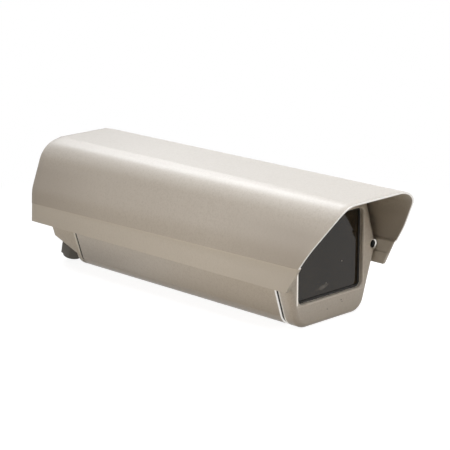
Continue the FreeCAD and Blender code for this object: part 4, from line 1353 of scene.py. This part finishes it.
@dataclass
class Shell:
    """A casting or the tube, copied from its node: its coat, painted highlights on its edges, then painted
    shade in its holes.
    """

    frame: dict
    node: str
    body: Body
    finishes: tuple[bpy.types.Material, ...]
    zones: tuple[RimZone, ...]
    mouths: tuple[HoleMouth, ...] = ()
    smooth: float = 32.0

    def build(self) -> bpy.types.Object:
        """Copy and finish the node.

        Returns:
            The piece.
        """
        mesh = merged_copy(self.frame, self.node)
        chamfer = {"segments": 2, "affect": "EDGES", "clamp_overlap": True}
        for mouth in self.mouths:
            ring = [edge for edge in mesh.edges if mouth.holds(edge)]
            made = bmesh.ops.bevel(mesh, geom=ring, offset=mouth.width * MM, **chamfer)
            for face in made["faces"]:
                # painted highlight: the chamfered mouth gets the bright edge finish
                face.material_index = 1
            LOG.info("%s: %d edges of a hole chamfered", self.node, len(ring))
        for face in mesh.faces:
            middle = face.calc_center_median()
            edged = [zone.finish for zone in self.zones if zone.holds(middle, face.normal)]
            if edged:
                face.material_index = edged[0]
            elif face.material_index == 0 and any(mouth.encloses(middle) for mouth in self.mouths):
                # painted shade: the hole's wall and floor are lined with black rubber
                face.material_index = 2
        data = into_mesh(mesh, self.node + "_shell", *self.finishes)
        shade(data, self.smooth)
        return linked(data.name, data)

    def dress(self) -> None:
        """Build the shell and put it in place."""
        place_piece(self.build(), self.body, "paint", self.node)


@dataclass
class Housing:
    """The tube and its two caps."""

    frame: dict
    finishes: dict[str, bpy.types.Material]
    half_width: float = 72.0
    bottom: float = -2.0
    top: float = 122.0
    slack: float = 0.1
    seam_reach: float = 1.4
    seam_lean: Point2 = (0.3, 0.95)
    sill_across: Point2 = (-48.9, -45.4)
    sill_height: Point2 = (22.4, 105.2)
    sill_depth: float = 1.8
    sill_lean: Point2 = (0.04, 0.97)
    screw_place: Point2 = (60.35, 63.8)
    hole_radius: float = 3.75
    hole_chamfer: float = 1.1
    hole_reach: float = 4.5

    def span(self, node: str) -> Point2:
        """Where a node starts and ends along the length, in millimetres."""
        low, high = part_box(node)
        return low[1] / MM, high[1] / MM

    def seam(self, y: float, inwards: int, finish: int = 1) -> RimZone:
        """The chamfer beside a gasket, which gets a painted highlight.

        Args:
            y: The gasket's side of it.
            inwards: 1 where the piece lies towards the rear, -1 towards the front.
            finish: Number of its finish.

        Returns:
            The zone of its faces.
        """
        first, second = sorted((y - self.slack * inwards, y + self.seam_reach * inwards))
        low, high = (-self.half_width, first, self.bottom), (self.half_width, second, self.top)
        return RimZone(low, high, self.seam_lean, finish)

    def dress(self) -> None:
        """Build the shells, with painted highlights on the sill, the hole mouths and beside the gaskets,
        and painted shade in the holes.
        """
        face, front_end = self.span("front_cap")
        tube_front, tube_rear = self.span("body_tube")
        rear_start, _ = self.span("rear_cap")
        (left, right), (low, high) = self.sill_across, self.sill_height
        start = face - self.slack
        sill = RimZone((left, start, low), (right, face + self.sill_depth, high), self.sill_lean)
        x, z = self.screw_place
        size = (self.hole_radius, (start, face + self.hole_reach), self.hole_chamfer)
        mouths = tuple(HoleMouth(side * x, z, *size) for side in (-1, 1))
        cap_zones = (sill, self.seam(front_end, -1))
        tube_zones = (self.seam(tube_front, 1, 2), self.seam(tube_rear, -1))
        # the edge finishes are painted highlights on the sill, the hole mouths and the gasket chamfers
        plan = (
            ("front_cap", Body.HOUSING, ("cap_paint", "edge", "rubber"), cap_zones, mouths),
            ("body_tube", Body.HOUSING, ("paint", "edge_highlight_coat", "edge"), tube_zones, ()),
            ("rear_cap", Body.DRAWER, ("paint", "edge_highlight_coat"), (self.seam(rear_start, 1),), ()),
        )
        for node, body, names, zones, holes in plan:
            coats = tuple(self.finishes[name] for name in names)
            Shell(self.frame, node, body, coats, zones, holes).dress()


# ---------------------------------------------------------------- screws


@dataclass(frozen=True)
class ScrewForm:
    """A screw: head with its drive, shank and thread; its head looks up and bears at height 0."""

    head: float
    rise: float
    shank: float
    pitch: float
    drive: Recess
    drive_size: float
    drive_depth: float
    edge: float
    knurls: int = 0
    neck: float = 0.0
    neck_share: float = 0.55
    thread_share: float = 0.55
    cross_span: float = 3.4
    slot_span: float = 1.2
    head_edge: float = 0.15
    root: float = 0.2
    point_share: float = 0.6
    knurl_sunk: float = 0.15
    knurl_margin: float = 1.0
    turns: int = 40
    smooth: float = 30.0

    def lathe(self, length: float) -> bpy.types.Object:
        """Turn the head and the core of the shank.

        Args:
            length: Length below the head.

        Returns:
            The head and core.
        """
        head, core = self.head / 2, self.shank / 2 - self.pitch * self.thread_share
        if self.neck:
            core = min(core, self.neck / 2)
        corners = (
            (0.0, self.rise, 0.0), (head, self.rise, self.edge), (head, 0.0, self.head_edge),
            (core, 0.0, self.root), (core, -length, self.pitch * self.point_share), (0.0, -length, 0.0),
        )
        walk = RoundedPath(corners, steps=4).points()[1:-1]
        turns, vertices, faces = self.turns, [], []
        for radius, height in walk:
            for turn in range(turns):
                angle = 2 * math.pi * turn / turns
                vertices.append((radius * math.cos(angle) * MM, radius * math.sin(angle) * MM, height * MM))
        for a in range(0, (len(walk) - 1) * turns, turns):
            for turn in range(turns):
                after = (turn + 1) % turns
                faces.append([a + turn, a + turns + turn, a + turns + after, a + after])
        faces.append(list(range(turns)))
        faces.append([(len(walk) - 1) * turns + turn for turn in reversed(range(turns))])
        return new_piece("screw", vertices, faces)

    def cutter(self) -> bpy.types.Object:
        """The solid that cuts the drive.

        Returns:
            An object to subtract from the head.
        """
        mesh = bmesh.new()
        top, deep = self.rise + 1.0, self.rise - self.drive_depth
        tall = (top - deep) * MM
        place = Matrix.Translation((0.0, 0.0, (top + deep) / 2 * MM))
        narrow, wide, turn = self.drive_size, self.drive_size * self.cross_span, math.pi / 4
        bars = []
        if self.drive is Recess.HEX:
            radius = narrow / math.sqrt(3.0) * MM
            bmesh.ops.create_cone(
                mesh, cap_ends=True, segments=6, radius1=radius, radius2=radius, depth=tall, matrix=place
            )
        elif self.drive is Recess.SLOT:
            bars = [(self.head * self.slot_span, narrow, 0.0)]
        else:
            bars = [(wide, narrow, turn), (narrow, wide, turn)]
        for across, along, angle in bars:
            size = Matrix.Diagonal((across * MM, along * MM, tall, 1.0))
            bmesh.ops.create_cube(mesh, size=1.0, matrix=place @ Matrix.Rotation(angle, 4, "Z") @ size)
        return linked("drive", into_mesh(mesh, "drive"))

    def mesh(self, length: float, metal: bpy.types.Material) -> bpy.types.Mesh:
        """Build the whole screw.

        Args:
            length: Length below the head.
            metal: Its material.

        Returns:
            The mesh.
        """
        body, tool = self.lathe(length), self.cutter()
        cut = body.modifiers.new("drive", "BOOLEAN")
        cut.operation, cut.object, cut.solver = "DIFFERENCE", tool, "EXACT"
        cut.use_self = self.drive is Recess.CROSS
        bake_modifiers(body)
        shade(body.data, self.smooth)
        whole = bmesh.new()
        whole.from_mesh(body.data)
        plain = length * self.neck_share if self.neck else 0.0
        size = (self.shank / 2 * MM, self.pitch * MM, (length - plain - self.pitch) * MM)
        extras = [(thread_mesh(*size, metal), self.pitch / 2 - length)]
        if self.knurls:
            size = ((self.head / 2 - self.knurl_sunk) * MM, (self.rise - self.knurl_margin) * MM)
            extras.append((knurl_mesh(*size, self.knurls, metal), self.rise / 2))
        for extra, height in extras:
            extra.transform(Matrix.Translation((0.0, 0.0, height * MM)))
            whole.from_mesh(extra)
        for spent in (body, tool):
            bpy.data.objects.remove(spent)
        return into_mesh(whole, "screw_whole")


@dataclass
class ScrewSet:
    """All screws of one node, each put where the node has one."""

    frame: dict
    node: str
    body: Body
    slot: str
    facing: Facing
    form: ScrewForm
    metal: bpy.types.Material

    def dress(self) -> None:
        """Build the screws and put them in place."""
        way = Vector(self.facing.value)
        axis = max(range(3), key=lambda index: abs(way[index]))
        turn = way.to_track_quat("Z", "Y").to_matrix().to_4x4()
        whole = bmesh.new()
        for low, high in solids_of(self.frame["nodes"][self.node].data):
            spot = (low + high) / 2
            tip, end = (high, low) if way[axis] > 0 else (low, high)
            spot[axis] = tip[axis] - way[axis] * self.form.rise * MM
            mesh = self.form.mesh(abs(spot[axis] - end[axis]) / MM, self.metal)
            mesh.transform(Matrix.Translation(spot) @ turn)
            whole.from_mesh(mesh)
        for face in whole.faces:
            face.material_index = 0
        data = into_mesh(whole, self.node + "_cut", self.metal)
        place_piece(linked(data.name, data), self.body, self.slot, self.node)


# ---------------------------------------------------------------- nodes that keep their shape


@dataclass
class KeptNodes:
    """Frame nodes that keep their shape: all get a finish, and some a copy with rounded edges."""

    frame: dict
    finishes: dict[str, bpy.types.Material]
    rounded: dict[str, float]

    def body_of(self, node: str) -> Body:
        """The body a node rides on.

        Args:
            node: The node.

        Returns:
            The body.
        """
        bodies = self.frame["record"]["behaviour"]["bodies"]
        return next(Body(name) for name, members in bodies.items() if node in members)

    def dress(self) -> None:
        """Give every node its finish, and the listed ones their rounded copy."""
        slots = {part["node"]: part["material_slot"] for part in self.frame["record"]["subparts"]}
        for node, piece in self.frame["nodes"].items():
            material = self.finishes[slots[node]]
            piece.data.materials.clear()
            piece.data.materials.append(material)
            if node in self.rounded:
                data = into_mesh(merged_copy(self.frame, node), node + "_edged", material)
                copy = linked(data.name, data)
                soften(copy, self.rounded[node] * MM)
                place_piece(copy, self.body_of(node), slots[node], node)


# ---------------------------------------------------------------- studio


@dataclass(frozen=True)
class Lamp:
    """A square lamp: its place and side in metres, power in watts and colour."""

    name: str
    place: Point3
    side: float
    power: float
    colour: Colour


@dataclass
class Studio:
    """Camera, lamps, floor and world."""

    azimuth: float = -44.86
    elevation: float = 14.83
    lens: float = 139.4
    distance: float = 1736.0
    target: Point3 = (0.0, -10.5, 67.1)
    floor_size: float = 30.0
    floor_tone: Colour = (0.31, 0.265, 0.20)
    floor_pale: Colour = (0.3, 0.3, 0.3)
    floor_glow: float = 0.9
    shadow_reach: float = 420.0
    shadow_core: float = 0.5
    sky: Colour = (1.0, 0.95, 0.89)
    sky_strength: float = 0.03
    lamps: tuple[Lamp, ...] = (
        Lamp("top", (0.0, -0.45, 1.1), 0.7, 11.8, (0.93, 0.96, 1.0)),
        Lamp("front", (0.6, -2.2, 0.7), 1.2, 14.0, (1.0, 0.95, 0.90)),
        Lamp("near", (-0.62, 0.05, 0.16), 0.3, 0.6, (1.0, 0.91, 0.79)),
        Lamp("near_front", (-0.62, -0.22, 0.10), 0.3, 0.95, (1.0, 0.94, 0.87)),
        Lamp("rear", (0.62, 1.25, 1.5), 0.8, 9.0, (0.92, 0.96, 1.0)),
        Lamp("shoulder", (0.37, 0.95, 1.02), 1.1, 4.6, (0.97, 0.98, 1.0)),
    )

    def direction(self) -> Vector:
        """The direction from the target to the camera."""
        a, e = math.radians(self.azimuth), math.radians(self.elevation)
        return Vector((math.sin(a) * math.cos(e), -math.cos(a) * math.cos(e), math.sin(e)))

    def camera(self) -> None:
        """Place the camera."""
        data = bpy.data.cameras.new("camera")
        data.lens = self.lens
        data.sensor_width = 36.0
        data.sensor_fit = "HORIZONTAL"
        data.clip_end = 100.0
        camera = linked("camera", data)
        camera.location = (Vector(self.target) + self.direction() * self.distance) * MM
        camera.rotation_euler = self.direction().to_track_quat("Z", "Y").to_euler()
        bpy.context.scene.camera = camera

    def hang(self, lamp: Lamp) -> None:
        """Add a lamp that faces the object.

        Args:
            lamp: The lamp.
        """
        data = bpy.data.lights.new(lamp.name, "AREA")
        data.shape = "SQUARE"
        data.size = lamp.side
        data.energy = lamp.power
        data.color = lamp.colour
        made = linked(lamp.name, data)
        made.location = lamp.place
        aim = Vector(lamp.place) - Vector(self.target) * MM
        made.rotation_euler = aim.to_track_quat("Z", "Y").to_euler()

    def floor(self) -> None:
        """A pale floor that reads as white and keeps a soft shadow near the object."""
        half = self.floor_size / 2
        corners = [(x * half, y * half, 0.0) for x, y in ((-1, -1), (1, -1), (1, 1), (-1, 1))]
        floor = new_piece("floor", corners, [(0, 1, 2, 3)])
        graph = Graph("floor")
        matt = graph.plain("ShaderNodeBsdfDiffuse", self.floor_tone)
        white = graph.plain("ShaderNodeEmission", WHITE, 1.0)
        pale = graph.plain("ShaderNodeBsdfDiffuse", self.floor_pale)
        glow = graph.plain("ShaderNodeEmission", WHITE, self.floor_glow)
        near = graph.node("ShaderNodeAddShader", {}, {0: pale, 1: glow}).outputs[0]
        x, y, _ = graph.along()
        away = ((x * x + y * y) / self.shadow_reach**2 - self.shadow_core).clamp()
        shown = graph.node("ShaderNodeMixShader", {}, {0: away, 1: near, 2: white}).outputs[0]
        graph.white_where_seen(matt, white, shown)
        floor.data.materials.append(graph.owner)

    def world(self) -> None:
        """White to the camera, a dim warm sky to the object."""
        graph = Graph("studio", world=True)
        sky = graph.plain("ShaderNodeBackground", self.sky, self.sky_strength)
        graph.white_where_seen(sky, graph.plain("ShaderNodeBackground", WHITE, 1.0))
        bpy.context.scene.world = graph.owner

    def build(self) -> None:
        """Set up everything round the object."""
        bpy.context.scene.view_settings.view_transform = "Standard"
        self.camera()
        self.floor()
        self.world()
        for lamp in self.lamps:
            self.hang(lamp)


# ---------------------------------------------------------------- main


def finish_set() -> dict[str, bpy.types.Material]:
    """Build every finish.

    Returns:
        The materials, by the record's slot or by their use in this scene.
    """
    finishes = {
        "paint": PowderCoat(),
        "shield_paint": ShieldCoat(),
        "cap_paint": CapCoat(),
        # painted highlight: a pale coat on the gasket chamfers
        "edge_highlight_coat": PowderCoat("pale_edge_highlight", (0.92, 0.90, 0.86), (0.84, 0.81, 0.76), 0.3),
        # painted highlight: bright metal on the sill, hole mouths, front gasket chamfer and the shield's
        # upper cut edges
        "edge": Metal("edge_highlight_metal", (0.84, 0.82, 0.78), (0.74, 0.72, 0.68), 0.30),
        "steel": Metal("stainless_steel", (0.6, 0.59, 0.57), (0.48, 0.47, 0.46), 0.28),
        # painted shade: near-black steel so that the cap screws sit dark in their holes
        "black_steel": Metal("steel_darkened_for_hole_shade", (0.045, 0.043, 0.041), (0.03, 0.03, 0.03), 0.4),
        "brass": Metal("brass", (0.78, 0.6, 0.3), (0.66, 0.48, 0.22), 0.3),
        # black rubber: the gaskets' own, and painted shade lining the screw holes
        "rubber": Moulded("black_rubber_and_hole_shade", (0.010, 0.010, 0.010), (0.018, 0.017, 0.016), 0.6),
        "glass": WindowPane(),
        "aluminium": Metal("sheet_aluminium", (0.72, 0.72, 0.72), (0.6, 0.6, 0.61)),
        "gland_plastic": Moulded("gland_plastic", (0.085, 0.078, 0.066), (0.115, 0.105, 0.09), 0.45),
        "black_plastic": Moulded("black_plastic", (0.02, 0.02, 0.02), (0.035, 0.035, 0.035), 0.45),
    }
    return {use: finish.material() for use, finish in finishes.items()}


def screw_sets(frame: dict, finishes: dict[str, bpy.types.Material]) -> list[ScrewSet]:
    """All screws of the housing.

    Args:
        finishes: The materials, by their use.

    Returns:
        One set per node.
    """
    cap = ScrewForm(
        head=7.0, rise=4.0, shank=4.0, pitch=0.7, drive=Recess.HEX, drive_size=3.0, drive_depth=2.0,
        edge=0.4, knurls=40,
    )
    small = ScrewForm(
        head=5.5, rise=1.8, shank=3.0, pitch=0.5, drive=Recess.CROSS, drive_size=0.8, drive_depth=1.1,
        edge=0.9,
    )
    pan = ScrewForm(
        head=8.0, rise=2.6, shank=4.0, pitch=0.7, drive=Recess.CROSS, drive_size=1.1, drive_depth=1.6,
        edge=1.3,
    )
    earth = replace(pan, drive=Recess.SLOT, drive_size=1.2, drive_depth=1.3, edge=1.2)
    camera = ScrewForm(
        head=16.0, rise=6.0, shank=6.35, pitch=1.27, drive=Recess.SLOT, drive_size=1.8, drive_depth=2.4,
        edge=0.8, knurls=60, neck=5.0,
    )
    plan = (
        # the cap screws' dark steel is painted shade in their holes
        ("front_cap_screws", Body.HOUSING, "steel", Facing.FRONT, cap, "black_steel"),
        ("rear_cap_screws", Body.DRAWER, "steel", Facing.REAR, cap, "black_steel"),
        ("retainer_screws", Body.HOUSING, "steel", Facing.REAR, small, "steel"),
        ("rail_stop_screws", Body.HOUSING, "steel", Facing.UP, pan, "steel"),
        ("tray_screws", Body.DRAWER, "steel", Facing.FRONT, pan, "steel"),
        ("camera_screw", Body.CARRIAGE, "steel", Facing.DOWN, camera, "steel"),
        ("earth_screw", Body.DRAWER, "brass", Facing.FRONT, earth, "brass"),
    )
    return [ScrewSet(frame, *row[:-1], finishes[row[-1]]) for row in plan]


def main() -> None:
    """Build the scene."""
    logging.basicConfig(level=logging.INFO, format="%(message)s")
    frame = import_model()
    finishes = finish_set()
    rounded = {
        "gland_bodies": 0.4, "gland_nuts": 0.4, "gland_lock_nuts": 0.3, "camera_plate": 0.4,
        "window_retainer": 0.25, "equipment_tray": 0.3, "sunshield_runners": 0.4, "nut_plate": 0.4,
    }
    Sunshield(finishes["shield_paint"], finishes["edge"]).dress()
    KeptNodes(frame, finishes, rounded).dress()
    Housing(frame, finishes).dress()
    for screws in screw_sets(frame, finishes):
        screws.dress()
    Studio().build()


if __name__ == "__main__":
    main()
